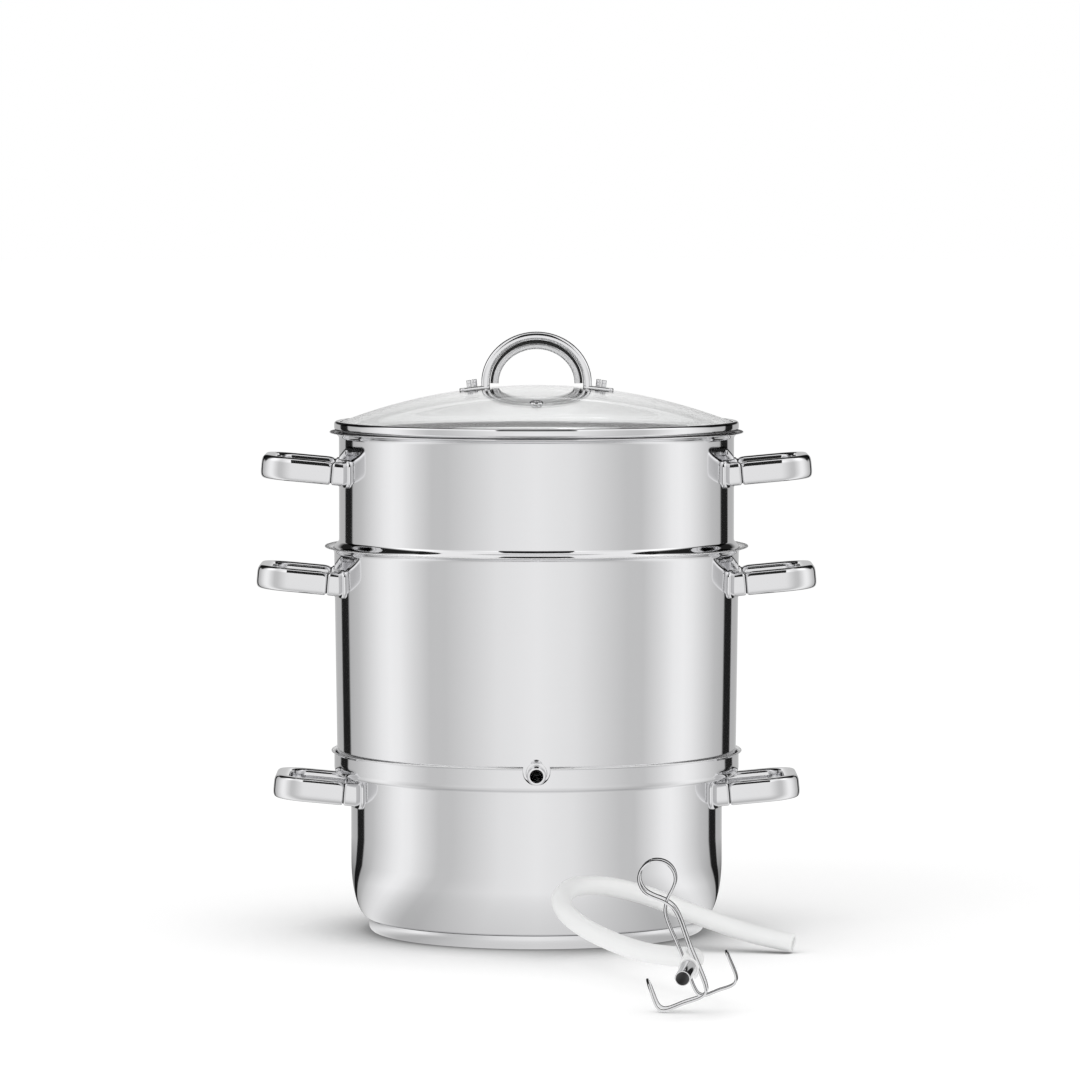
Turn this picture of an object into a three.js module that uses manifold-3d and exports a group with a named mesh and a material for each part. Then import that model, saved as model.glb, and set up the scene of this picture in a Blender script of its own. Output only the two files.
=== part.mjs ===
// Steam juicer: a water pot, a juice collector, a fruit basket and a glass lid that stack,
// with the outlet hose, its nozzle and its spring clamp lying in front of the stack.
// Millimetres, +Z up, the front is -Y. The origin is the middle of the water pot's underside.
import * as THREE from 'three';
import { mergeVertices } from 'three/addons/utils/BufferGeometryUtils.js';
import Module from 'manifold-3d';

const wasm = await Module();
wasm.setup();

// Values that every piece shares
const GAP = 0.3; // clearance between pieces that touch
const SHEET = 0.8; // pressed steel
const SIDES = 38; // flats round each pot, one to a column of sieve holes
const OVERRUN = 5; // how far a cutter passes the face it cuts
const PIN_SIDES = 10;
const CORNER_STEPS = 3;
const QUARTER = Math.PI / 2;

// Water pot
const POT_RADIUS = 120;
const POT_HEIGHT = 117;
const POT_CORNER = 11.5; // how far the wall draws in at the bottom
const POT_CORNER_HEIGHT = 37;
const POT_CORNER_STEPS = 5;
const PLATE_HEIGHT = 9;
const PLATE_INSET = 11.5; // from the pot's wall in to the base plate's edge
const PLATE_ROUND = 4;
const COLLAR_STEP = 10.8; // from the pot's wall out to the collar
const COLLAR_DEPTH = 15; // from the rim down to the step that carries the collector
const COLLAR_ROUND = 4.8;
const COLLAR_ROUND_STEPS = 2;
const STEP_ROUND = 1.2;
const COLLAR_LIP_OUT = 1.2;
const COLLAR_LIP_RISE = 1.4;
const NOTCH_ROOM_BELOW = 0.9; // round the collar of the spigot that passes through the notch
const NOTCH_ROOM_BESIDE = 1.85;
const NOTCH_STEPS = 8;

// Outward lips of the collector and the basket
const LIP_OUT = 5.4;
const LIP_RISE = 3.8;
const LIP_EDGE = 0.7;
const LIP_STEPS = 3;

// Juice collector
const NEST_CLEARANCE = 1.25; // round the collector's foot, inside the collar
const COLLECTOR_HEIGHT = 146.5;
const COLLECTOR_DRAFT = 1.95; // how much wider the wall is at the top
const COLLECTOR_CORNER = 8.5;
const CONE_FOOT_RADIUS = 39;
const CONE_TOP_RADIUS = 19;
const CONE_HEIGHT = 48;
const CONE_FLANGE = 5;
const CONE_BEND = 1.6;
const STEAM_HOLE_INSET = 2; // from the cone's foot in to the hole in the floor

// Outlet spigot
const SPIGOT_RADIUS = 5.2;
const SPIGOT_BORE_RADIUS = 4.2;
const SPIGOT_HEIGHT = 11.4; // of its axis, above the collector's underside
const SPIGOT_REACH = 22;
const SPIGOT_INNER_END = 1.5;
const SPIGOT_COLLAR_RADIUS = 6.8;
const SPIGOT_COLLAR = 1.4;
const SPIGOT_BARB = 0.9;
const SPIGOT_BARB_LENGTH = 4;
const SPIGOT_SIDES = 16;

// Fruit basket
const BASKET_HEIGHT = 153.7;
const BASKET_CLEARANCE = 3.9; // from the collector's wall to the basket's, under the bead
const BASKET_DRAFT = 7;
const BASKET_BULGE = 1.7; // of the sieve wall, outside a straight line from foot to bead
const BASKET_WALL_STEPS = 3;
const BASKET_CORNER = 20;
const BASKET_CORNER_STEPS = 4;
const BASKET_UPPER_STEP = 1.5;
const BEAD_DEPTH = 74.8; // from the rim down to the bead's crest
const BEAD_OVERLAP = 1.3; // of the bead's crest over the collector's wall
const BEAD_REACH = 5.5; // of the bead, above and below its crest
const BEAD_HALF_STEPS = 2;
const HOLE_RADIUS = 2.9; // of its corners
const HOLE_SIDES = 4;
const HOLE_ROWS = 4;
const HOLE_ROW_START = 8.9; // of the lowest row, above the basket's underside
const HOLE_ROW_END = 17.7; // from the bead's foot down to the top row
const FLOOR_RINGS = 3;
const FLOOR_RING_PITCH = 28;
const FLOOR_RING_HOLES = 6; // in the first ring, and as many more in each ring after it

// Side handles, two to a pot
const HANDLE_REACH = 49.5;
const HANDLE_HALF_SPAN = 33;
const HANDLE_TALL = 15;
const HANDLE_WIDE = 10;
const HANDLE_CHAMFER = 2.8;
const HANDLE_BEND = 16;
const HANDLE_TILT = THREE.MathUtils.degToRad(5.3);
const HANDLE_STEPS = 14;
const PAD_WIDE = 26;
const PAD_TALL = 18;
const PAD_THICK = 1.5;
const PAD_CHAMFER = 5;
const POT_PAD_DROP = 2; // from the collar's step down to the pads of the pot's handles
const COLLECTOR_HANDLE_DROP = 23; // below the rim
const BASKET_HANDLE_DROP = 26;

// Lid
const SKIRT_CLEARANCE = 4.5; // inside the basket's wall
const SKIRT_DEPTH = 6.7;
const BAND_STEP = 3.1; // of the band, outside the basket's wall
const BAND_HEIGHT = 7.2;
const BAND_ROUND = 1.4;
const BAND_LIP = 3.4;
const GLASS = 4;
const GLASS_CURVE = 349; // radius of the dome's upper face
const GLASS_STEP = 26; // longest straight in the dome's outline
const VENT_PLACE = 78; // in front of the lid's middle
const VENT_FLANGE_RADIUS = 4.5;
const VENT_BARREL_RADIUS = 2.6;
const VENT_BORE_RADIUS = 1.5;
const VENT_FLANGE = 1;

// Lid handle
const ARCH_HALF_WIDTH = 35.5;
const ARCH_RISE = 33.1;
const ARCH_LIFT = 1.4; // of the arch's widest place above the dome's top
const STRAP = 5.6;
const STRAP_DEPTH = 18;
const LINER = 5.3;
const LINER_DEPTH = 15;
const ARCH_BEVEL = 1.4;
const ARCH_STEPS = 12;
const TAB_REACH = 14;
const TAB_ROOT = 3; // how far the tab runs back under the strap
const TAB = 1.3;
const TAB_CHAMFER = 3;
const STUD_RADIUS = 1.1;
const STUD_CAP_RADIUS = 1.6;
const STUD_CAP = 4.3;
const STUD_FOOT_RADIUS = 2.2;
const STUD_FOOT = 0.9;
const STUD_INSETS = [10, 6.6]; // of the rear and the front stud from the tab's end
const STUD_HALF_PITCH = 3.6;
const BACKING = 1.2;
const BACKING_MARGIN = 3;

// Hose, laid by hand from its free end to its nozzle end
const HOSE_RADIUS = 6;
const HOSE_SIDES = 8;
const HOSE_STEPS = 50;
const HOSE_POINTS = [
  [161, -125, 6.6],
  [138, -118.8, 11],
  [115, -113, 17.6],
  [92.5, -109.1, 25.6],
  [69.5, -109.1, 34.4],
  [45, -118.9, 41.5],
  [25, -139.8, 43.8],
  [15.6, -168, 40.6],
  [18, -198, 34.8],
  [28.5, -229, 29.4],
  [46, -266, 25],
  [63.5, -304, 23.6],
  [79, -338, 25.4],
  [87.8, -361, 27.8],
  [91.2, -373.7, 29.1],
  [91.8, -386.7, 29.6],
  [88.1, -413.3, 27.8],
];
const PINCH_FLAT_SHARE = 0.35; // of the hose's width left between the jaws
const PINCH_WIDE_SHARE = 1.45;
const PINCH_HALF_LENGTH = 6;

// Nozzle in the hose's end
const NOZZLE_RADIUS = 4.5;
const NOZZLE_BORE_RADIUS = 4;
const NOZZLE_LENGTH = 30;
const NOZZLE_SIDES = 12;
const HOSE_PAST_PINCH = 13.5;

// Spring clamp on the hose: two wire halves that meet at the top of its ring
const CLAMP_PLACE = [90, -400, 28.7];
const CLAMP_YAW = THREE.MathUtils.degToRad(-8);
const CLAMP_PITCH = THREE.MathUtils.degToRad(4);
const CLAMP_LEAN = THREE.MathUtils.degToRad(-21);
const WIRE_RADIUS = 0.85;
const WIRE_SIDES = 5;
const WIRE_STEPS = 56;
const RING_RADIUS = 10.6;
const RING_END = -48; // degrees, where each half ring leaves its circle
const RING_STEPS = 7;
const RING_ABOVE_PINCH = 54;
const NECK_BELOW_RING = 14.7;
const JAW_OFFSET = 3.15;
const ARM_BELOW_PINCH = 20;
const ARM_BEND = 4;
const FLUKE_HEIGHT = 20;
const RING_STRAND = 3.2; // of each strand, either side of the clamp's middle plane
const OUTER_STRAND = 4.4;
const INNER_STRAND = 2;
const TIP_STRAND = 1.6;
const LEFT_ARM = 27.6;
const RIGHT_ARM = 22;

// Sizes that follow from those above
const HALF_FLAT = Math.PI / SIDES;
const collarRadius = POT_RADIUS + COLLAR_STEP;
const stepHeight = POT_HEIGHT - COLLAR_DEPTH;
const plateRadius = POT_RADIUS - PLATE_INSET;
const collectorFoot = stepHeight + GAP;
const collectorRim = collectorFoot + COLLECTOR_HEIGHT;
const collectorFootRadius = collarRadius - SHEET - NEST_CLEARANCE;
const collectorRadius = collectorFootRadius + COLLECTOR_DRAFT;
const basketWallRadius = collectorRadius - SHEET - BASKET_CLEARANCE;
const basketUpperRadius = basketWallRadius + BASKET_UPPER_STEP;
const beadRadius = collectorRadius - SHEET + BEAD_OVERLAP;
const skirtRadius = basketUpperRadius - SHEET - SKIRT_CLEARANCE;
const bandRadius = basketUpperRadius + BAND_STEP;
const glassRadius = bandRadius - SHEET - GAP;
const glassSeat = bandRadius - BAND_LIP;
const glassSteps = Math.ceil(glassRadius / GLASS_STEP);
const domeMiddle = BAND_HEIGHT - SHEET - GAP - Math.sqrt(GLASS_CURVE ** 2 - glassSeat ** 2);
const stepRoundOuter = STEP_ROUND - SHEET / 2;

// Materials, a new one for each piece
const material = (color, metalness, roughness, more = {}) => () =>
  new THREE.MeshStandardMaterial({ color, metalness, roughness, ...more });
const polishedSteel = material(0xd4d6d8, 1, 0.14);
const satinSteel = material(0xc4c6c8, 1, 0.34);
const aluminium = material(0xc9cbcc, 1, 0.4);
const springSteel = material(0xb9bbbd, 1, 0.2);
const clearGlass = material(0xe9eef0, 0, 0.04, { transparent: true, opacity: 0.35 });
const silicone = material(0xf0f0ee, 0, 0.45, { transparent: true, opacity: 0.85 });

// Outlines
const at = (x, y) => new THREE.Vector2(x, y);

// Points on an ellipse's arc, with its angles in degrees.
function arc(middle, radii, from, to, steps) {
  return Array.from({ length: steps + 1 }, (_, i) => {
    const angle = THREE.MathUtils.degToRad(from + ((to - from) * i) / steps);
    return at(middle.x + radii.x * Math.cos(angle), middle.y + radii.y * Math.sin(angle));
  });
}

// A path's lower corner that ends upright at x, from a level start at y.
function roundCorner(x, y, width, steps, height = width) {
  return arc(at(x - width, y + height), at(width, height), -90, 0, steps);
}

// A path moved sideways to its left, with its corners mitred.
function besidePath(path, distance) {
  return path.map((point, i) => {
    const before = path[Math.max(i - 1, 0)];
    const after = path[Math.min(i + 1, path.length - 1)];
    const ways = [];
    if (i > 0) ways.push(point.clone().sub(before).normalize());
    if (i < path.length - 1) ways.push(after.clone().sub(point).normalize());
    const normals = ways.map((way) => at(-way.y, way.x));
    const sum = normals.reduce((total, normal) => total.add(normal), at(0, 0));
    return point.clone().addScaledVector(sum, (normals.length * distance) / sum.lengthSq());
  });
}

// The closed outline of a sheet whose outer face follows a path.
function sheetOutline(path, thickness = SHEET) {
  const outline = [...path, ...besidePath(path, thickness).reverse()];
  return path[0].x > 0 ? [...outline, path[0].clone()] : outline;
}

function ringOutline(inner, outer, low, high) {
  return [at(inner, low), at(outer, low), at(outer, high), at(inner, high), at(inner, low)];
}

// An outward lip whose upper face is level at the given height.
function lip(radius, top, out, rise) {
  const under = top - SHEET;
  const curve = arc(at(radius + out, under - rise), at(out, rise), 180, 90, LIP_STEPS);
  return [...curve, at(radius + out + LIP_EDGE, under)];
}

// Solids
function solid(geometry) {
  const bare = geometry.clone();
  bare.deleteAttribute('normal');
  bare.deleteAttribute('uv');
  const merged = mergeVertices(bare);
  const corners = merged.index.array;
  const kept = [];
  for (let i = 0; i < corners.length; i += 3) {
    const [a, b, c] = corners.slice(i, i + 3);
    if (a !== b && b !== c && c !== a) kept.push(a, b, c);
  }
  const vertProperties = merged.attributes.position.array;
  return new wasm.Manifold(
    new wasm.Mesh({ numProp: 3, vertProperties, triVerts: new Uint32Array(kept) }),
  );
}

// An outline turned round the Z axis. A flat, not a corner, faces the front.
function turned(outline, sides = SIDES) {
  const lathe = new THREE.LatheGeometry(outline, sides, -Math.PI / sides);
  return lathe.rotateX(QUARTER);
}

// A section swept along a curve.
function swept(curve, section, steps) {
  return new THREE.ExtrudeGeometry(section, { extrudePath: curve, steps, bevelEnabled: false });
}

function roundSection(radius, sides) {
  const points = arc(at(0, 0), at(radius, radius), 0, 360, sides);
  return new THREE.Shape(points.slice(0, -1));
}

// A rectangle with its corners cut off.
function cutRectangle(width, height, chamfer) {
  const x = width / 2;
  const y = height / 2;
  return new THREE.Shape([
    at(-x + chamfer, -y),
    at(x - chamfer, -y),
    at(x, -y + chamfer),
    at(x, y - chamfer),
    at(x - chamfer, y),
    at(-x + chamfer, y),
    at(-x, y - chamfer),
    at(-x, -y + chamfer),
  ]);
}

function prism(shape, depth) {
  return new THREE.ExtrudeGeometry(shape, { depth, bevelEnabled: false });
}

const group = new THREE.Group();

function addPiece(name, body, newMaterial) {
  const { vertProperties, triVerts } = body.getMesh();
  const geometry = new THREE.BufferGeometry();
  geometry.setAttribute('position', new THREE.BufferAttribute(vertProperties, 3));
  geometry.setIndex(new THREE.BufferAttribute(triVerts, 1));
  geometry.computeVertexNormals();
  const mesh = new THREE.Mesh(geometry, newMaterial());
  mesh.name = name;
  group.add(mesh);
}

// How high the upper outline has to stand for its lowest place to clear the lower one.
function seatHeight(lower, upper) {
  const heightAt = (line, x) => {
    const i = line.findIndex((point, k) => k > 0 && point.x >= x);
    const [a, b] = [line[i - 1], line[i]];
    return a.y + ((b.y - a.y) * (x - a.x)) / (b.x - a.x);
  };
  const from = Math.max(lower[0].x, upper[0].x);
  const to = Math.min(lower.at(-1).x, upper.at(-1).x);
  const places = [...lower, ...upper].map((point) => point.x).filter((x) => x >= from && x <= to);
  const drops = places.map((x) => heightAt(lower, x) - heightAt(upper, x));
  return Math.max(...drops) + GAP / Math.SQRT1_2;
}

// Side handle: a bar bent into a loop, with a pad at each end that follows the pot's wall.
function handlePath() {
  const bar = HANDLE_REACH - HANDLE_WIDE / 2;
  const bend = bar - HANDLE_BEND;
  const straight = HANDLE_HALF_SPAN - HANDLE_BEND;
  const path = new THREE.CurvePath();
  const place = (x, y) => new THREE.Vector3(x, y, 0);
  path.add(new THREE.LineCurve3(place(-OVERRUN, -HANDLE_HALF_SPAN), place(bend, -HANDLE_HALF_SPAN)));
  path.add(
    new THREE.QuadraticBezierCurve3(
      place(bend, -HANDLE_HALF_SPAN),
      place(bar, -HANDLE_HALF_SPAN),
      place(bar, -straight),
    ),
  );
  path.add(new THREE.LineCurve3(place(bar, -straight), place(bar, straight)));
  path.add(
    new THREE.QuadraticBezierCurve3(
      place(bar, straight),
      place(bar, HANDLE_HALF_SPAN),
      place(bend, HANDLE_HALF_SPAN),
    ),
  );
  path.add(new THREE.LineCurve3(place(bend, HANDLE_HALF_SPAN), place(-OVERRUN, HANDLE_HALF_SPAN)));
  return path;
}

// radiusAt gives the wall's outer radius at a height.
function sideHandle(radiusAt, middle) {
  const low = middle - PAD_TALL;
  const high = middle + PAD_TALL;
  const section = cutRectangle(HANDLE_TALL, HANDLE_WIDE, HANDLE_CHAMFER);
  const bar = swept(handlePath(), section, HANDLE_STEPS);
  bar.rotateY(-HANDLE_TILT);
  bar.translate(radiusAt(middle) * Math.cos(HALF_FLAT), 0, middle);
  const face = (height, out) => at(radiusAt(height) + out, height);
  const skin = [
    face(low, GAP),
    face(low, GAP + PAD_THICK),
    face(high, GAP + PAD_THICK),
    face(high, GAP),
    face(low, GAP),
  ];
  const pads = [-1, 1].map((end) => {
    const outline = prism(cutRectangle(PAD_WIDE, PAD_TALL, PAD_CHAMFER), radiusAt(middle));
    outline.rotateX(QUARTER).rotateZ(QUARTER);
    return solid(outline.translate(radiusAt(middle) / 2, end * HANDLE_HALF_SPAN, middle));
  });
  const wall = [at(0, low), face(low, GAP), face(high, GAP), at(0, high)];
  const padSkin = solid(turned(skin));
  return pads
    .map((pad) => pad.intersect(padSkin))
    .reduce((body, pad) => body.add(pad), solid(bar))
    .subtract(solid(turned(wall)));
}

function addSideHandles(pot, radiusAt, middle) {
  const right = sideHandle(radiusAt, middle);
  addPiece(`${pot}_handle_right`, right, polishedSteel);
  addPiece(`${pot}_handle_left`, right.rotate([0, 0, 180]), polishedSteel);
}

// Water pot
function potPath() {
  const under = stepHeight - SHEET;
  return [
    at(0, PLATE_HEIGHT),
    ...roundCorner(POT_RADIUS, PLATE_HEIGHT, POT_CORNER, POT_CORNER_STEPS, POT_CORNER_HEIGHT),
    at(POT_RADIUS, under - stepRoundOuter),
    at(POT_RADIUS + stepRoundOuter, under),
    ...roundCorner(collarRadius, under, COLLAR_ROUND, COLLAR_ROUND_STEPS),
    ...lip(collarRadius, POT_HEIGHT, COLLAR_LIP_OUT, COLLAR_LIP_RISE),
  ];
}

function notchCutter() {
  const half = SPIGOT_COLLAR_RADIUS + NOTCH_ROOM_BESIDE;
  const axis = collectorFoot + SPIGOT_HEIGHT;
  const low = axis - SPIGOT_COLLAR_RADIUS - NOTCH_ROOM_BELOW;
  const high = POT_HEIGHT + OVERRUN;
  const bottom = arc(at(0, low + half), at(half, half), 180, 360, NOTCH_STEPS);
  const shape = new THREE.Shape([...bottom, at(half, high), at(-half, high)]);
  const depth = collarRadius - POT_RADIUS + 2 * OVERRUN;
  const cutter = prism(shape, depth).rotateX(QUARTER);
  return solid(cutter.translate(0, -POT_RADIUS + OVERRUN, 0));
}

function addWaterPot() {
  const shell = solid(turned(sheetOutline(potPath()))).subtract(notchCutter());
  addPiece('pot_shell', shell, polishedSteel);
  const rim = PLATE_HEIGHT - GAP;
  const corner = roundCorner(plateRadius, 0, PLATE_ROUND, CORNER_STEPS);
  const cap = [at(0, 0), ...corner, at(plateRadius, rim)];
  addPiece('plate_cap', solid(turned(sheetOutline(cap))), satinSteel);
  const coreRadius = plateRadius - SHEET - GAP;
  const coreLow = SHEET + GAP;
  const core = [
    at(0, coreLow),
    ...roundCorner(coreRadius, coreLow, PLATE_ROUND - SHEET, CORNER_STEPS),
    at(coreRadius, rim),
    at(0, rim),
  ];
  addPiece('plate_core', solid(turned(core)), aluminium);
  addSideHandles('pot', () => POT_RADIUS, stepHeight - POT_PAD_DROP - PAD_TALL / 2);
}

// Juice collector
const collectorLip = lip(collectorRadius, collectorRim, LIP_OUT, LIP_RISE);

function collectorRadiusAt(height) {
  const low = collectorFoot + COLLECTOR_CORNER;
  const share = (height - low) / (collectorLip[0].y - low);
  return collectorFootRadius + COLLECTOR_DRAFT * share;
}

function addSteamCone() {
  const top = collectorFoot + 2 * SHEET + GAP;
  const path = [
    at(CONE_FOOT_RADIUS + CONE_FLANGE, top),
    at(CONE_FOOT_RADIUS + CONE_BEND, top),
    at(CONE_FOOT_RADIUS, top + CONE_BEND),
    at(CONE_TOP_RADIUS, collectorFoot + CONE_HEIGHT),
  ];
  addPiece('steam_cone', solid(turned(sheetOutline(path))), satinSteel);
}

function addSpigot() {
  const wall = collectorRadiusAt(collectorFoot + SPIGOT_HEIGHT) * Math.cos(HALF_FLAT);
  const inner = wall - SHEET - SPIGOT_INNER_END;
  const collar = wall + GAP;
  const tip = wall + SPIGOT_REACH;
  const barb = SPIGOT_RADIUS + SPIGOT_BARB;
  const outline = [
    at(SPIGOT_BORE_RADIUS, inner),
    at(SPIGOT_RADIUS, inner),
    at(SPIGOT_RADIUS, collar),
    at(SPIGOT_COLLAR_RADIUS, collar),
    at(SPIGOT_COLLAR_RADIUS, collar + SPIGOT_COLLAR),
    at(SPIGOT_RADIUS, collar + SPIGOT_COLLAR),
    at(SPIGOT_RADIUS, tip - SPIGOT_BARB_LENGTH),
    at(barb, tip - SPIGOT_BARB_LENGTH / 2),
    at(SPIGOT_RADIUS, tip),
    at(SPIGOT_BORE_RADIUS, tip),
    at(SPIGOT_BORE_RADIUS, inner),
  ];
  const tube = turned(outline, SPIGOT_SIDES).rotateX(QUARTER);
  tube.translate(0, 0, collectorFoot + SPIGOT_HEIGHT);
  addPiece('outlet_spigot', solid(tube), satinSteel);
}

function addCollector() {
  const path = [
    at(CONE_FOOT_RADIUS - STEAM_HOLE_INSET, collectorFoot),
    ...roundCorner(collectorFootRadius, collectorFoot, COLLECTOR_CORNER, CORNER_STEPS),
    ...collectorLip,
  ];
  const hole = new THREE.CylinderGeometry(
    SPIGOT_RADIUS + GAP,
    SPIGOT_RADIUS + GAP,
    collarRadius,
    SPIGOT_SIDES,
  );
  hole.translate(0, -collarRadius, collectorFoot + SPIGOT_HEIGHT);
  const shell = solid(turned(sheetOutline(path))).subtract(solid(hole));
  addPiece('collector_shell', shell, polishedSteel);
  addSteamCone();
  addSpigot();
  addSideHandles('collector', collectorRadiusAt, collectorRim - COLLECTOR_HANDLE_DROP);
}

// Fruit basket. Its outlines are drawn from its own underside and lifted to their seat.
const beadHeight = BASKET_HEIGHT - BEAD_DEPTH;

function beadOutline() {
  const count = 2 * BEAD_HALF_STEPS + 1;
  return Array.from({ length: count }, (_, i) => {
    const share = i / BEAD_HALF_STEPS - 1;
    const wall = share < 0 ? basketWallRadius : basketUpperRadius;
    const swell = (beadRadius - wall) * Math.cos((share * Math.PI) / 2) ** 2;
    return at(wall + swell, beadHeight + share * BEAD_REACH);
  });
}

function lipTop(lipPath) {
  return besidePath(lipPath, SHEET);
}

const beadUnder = beadOutline().slice(0, BEAD_HALF_STEPS + 1);
const basketFoot = seatHeight(lipTop(collectorLip), beadUnder);
const basketRim = basketFoot + BASKET_HEIGHT;
const basketLip = lip(basketUpperRadius, basketRim, LIP_OUT, LIP_RISE);

// The radius of the sieve wall, from the top of its corner up to the bead.
function sieveRadiusAt(height) {
  const share = (height - BASKET_CORNER) / (beadHeight - BEAD_REACH - BASKET_CORNER);
  const bulge = BASKET_BULGE * Math.sin(Math.PI * share);
  return basketWallRadius - BASKET_DRAFT * (1 - share) + bulge;
}

function basketPath() {
  const foot = basketWallRadius - BASKET_DRAFT;
  const corner = roundCorner(foot, 0, BASKET_CORNER, BASKET_CORNER_STEPS);
  const rise = (beadHeight - BEAD_REACH - BASKET_CORNER) / BASKET_WALL_STEPS;
  const sieve = Array.from({ length: BASKET_WALL_STEPS - 1 }, (_, i) => {
    const height = BASKET_CORNER + (i + 1) * rise;
    return at(sieveRadiusAt(height), height);
  });
  const wall = [at(0, 0), ...corner, ...sieve, ...beadOutline()];
  return [...wall.map((point) => at(point.x, point.y + basketFoot)), ...basketLip];
}

// A hole's cutter, along X, at its place on the wall and square to it.
function wallHole(height) {
  const cornerMiddle = basketWallRadius - BASKET_DRAFT - BASKET_CORNER;
  const inCorner = height < BASKET_CORNER;
  const lean = inCorner ? Math.asin(1 - height / BASKET_CORNER) : 0;
  const inCornerRadius = cornerMiddle + BASKET_CORNER * Math.cos(lean);
  const radius = inCorner ? inCornerRadius : sieveRadiusAt(height);
  const cutter = new THREE.CylinderGeometry(HOLE_RADIUS, HOLE_RADIUS, 2 * OVERRUN, HOLE_SIDES);
  cutter.rotateZ(QUARTER).rotateY(lean);
  return cutter.translate(radius * Math.cos(HALF_FLAT), 0, basketFoot + height);
}

function sieveCutters() {
  const cutters = [];
  const topRow = beadHeight - BEAD_REACH - HOLE_ROW_END;
  const rowPitch = (topRow - HOLE_ROW_START) / (HOLE_ROWS - 1);
  for (let row = 0; row < HOLE_ROWS; row += 1) {
    const hole = wallHole(HOLE_ROW_START + row * rowPitch);
    for (let column = 0; column < SIDES; column += 1) {
      const turn = -QUARTER + 2 * HALF_FLAT * column;
      cutters.push(solid(hole.clone().rotateZ(turn)));
    }
  }
  const floorHole = new THREE.CylinderGeometry(HOLE_RADIUS, HOLE_RADIUS, 2 * OVERRUN, HOLE_SIDES);
  floorHole.rotateX(QUARTER).translate(0, 0, basketFoot);
  cutters.push(solid(floorHole));
  for (let ring = 1; ring <= FLOOR_RINGS; ring += 1) {
    const count = ring * FLOOR_RING_HOLES;
    for (let i = 0; i < count; i += 1) {
      const hole = floorHole.clone().translate(ring * FLOOR_RING_PITCH, 0, 0);
      cutters.push(solid(hole.rotateZ((2 * Math.PI * i) / count)));
    }
  }
  return cutters.reduce((all, cutter) => all.add(cutter));
}

function addBasket() {
  const shell = solid(turned(sheetOutline(basketPath()))).subtract(sieveCutters());
  addPiece('basket_shell', shell, satinSteel);
  addSideHandles('basket', () => basketUpperRadius, basketRim - BASKET_HANDLE_DROP);
}

// Lid. Its outlines are drawn from the band's underside and lifted to their seat.
function bandPath() {
  return [
    at(skirtRadius, -SKIRT_DEPTH),
    at(skirtRadius, -BAND_ROUND),
    at(skirtRadius + BAND_ROUND, 0),
    at(bandRadius - BAND_ROUND, 0),
    at(bandRadius, BAND_ROUND),
    at(bandRadius, BAND_HEIGHT - BAND_ROUND),
    at(bandRadius - BAND_ROUND, BAND_HEIGHT),
    at(bandRadius - BAND_LIP, BAND_HEIGHT),
  ];
}

const lidFoot = seatHeight(lipTop(basketLip), bandPath().slice(2, 5));
const domeTop = lidFoot + domeMiddle + GLASS_CURVE;

// The dome's face at a radius of curvature, from the middle out to a distance from the axis.
function domeFace(curve, reach) {
  const edge = THREE.MathUtils.radToDeg(Math.acos(reach / curve));
  return arc(at(0, lidFoot + domeMiddle), at(curve, curve), 90, edge, glassSteps);
}

function domeHeight(distance) {
  return lidFoot + domeMiddle + Math.sqrt(GLASS_CURVE ** 2 - distance ** 2);
}

// A layer that follows the dome between two offsets from its upper face.
function domeLayer(low, high) {
  const reach = ARCH_HALF_WIDTH + TAB_REACH + OVERRUN;
  const under = domeFace(GLASS_CURVE + low, reach);
  const over = domeFace(GLASS_CURVE + high, reach);
  return solid(turned([...under, ...over.reverse()]));
}

// A small turned piece stood square on the dome, its own Z = 0 at the glass's upper face.
function stoodOnDome(geometry, x, y) {
  const lean = Math.asin(Math.hypot(x, y) / GLASS_CURVE);
  const way = Math.atan2(y, x);
  geometry.rotateY(lean).rotateZ(way);
  return geometry.translate(x, y, domeHeight(Math.hypot(x, y)));
}

function studPlaces(side) {
  const end = ARCH_HALF_WIDTH + TAB_REACH;
  const [rear, front] = STUD_INSETS;
  return [
    [side * (end - rear), STUD_HALF_PITCH],
    [side * (end - front), -STUD_HALF_PITCH],
  ];
}

function studHoles(side) {
  const depth = GLASS + BACKING + TAB + 2 * OVERRUN;
  return studPlaces(side)
    .map(([x, y]) => {
      const radius = STUD_RADIUS + GAP;
      const hole = new THREE.CylinderGeometry(radius, radius, depth, PIN_SIDES);
      return solid(stoodOnDome(hole.rotateX(QUARTER), x, y));
    })
    .reduce((all, hole) => all.add(hole));
}

function addStuds(side, name) {
  const over = GAP + TAB + GAP;
  const under = -GLASS - GAP - BACKING - GAP;
  const outline = [
    at(0, under - STUD_FOOT),
    at(STUD_FOOT_RADIUS, under - STUD_FOOT),
    at(STUD_FOOT_RADIUS, under),
    at(STUD_RADIUS, under),
    at(STUD_RADIUS, over),
    at(STUD_CAP_RADIUS, over),
    at(STUD_CAP_RADIUS, over + STUD_CAP),
    at(0, over + STUD_CAP),
  ];
  studPlaces(side).forEach(([x, y], i) => {
    const stud = solid(stoodOnDome(turned(outline, PIN_SIDES), x, y));
    addPiece(`${name}_stud_${i + 1}`, stud, polishedSteel);
  });
}

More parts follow.
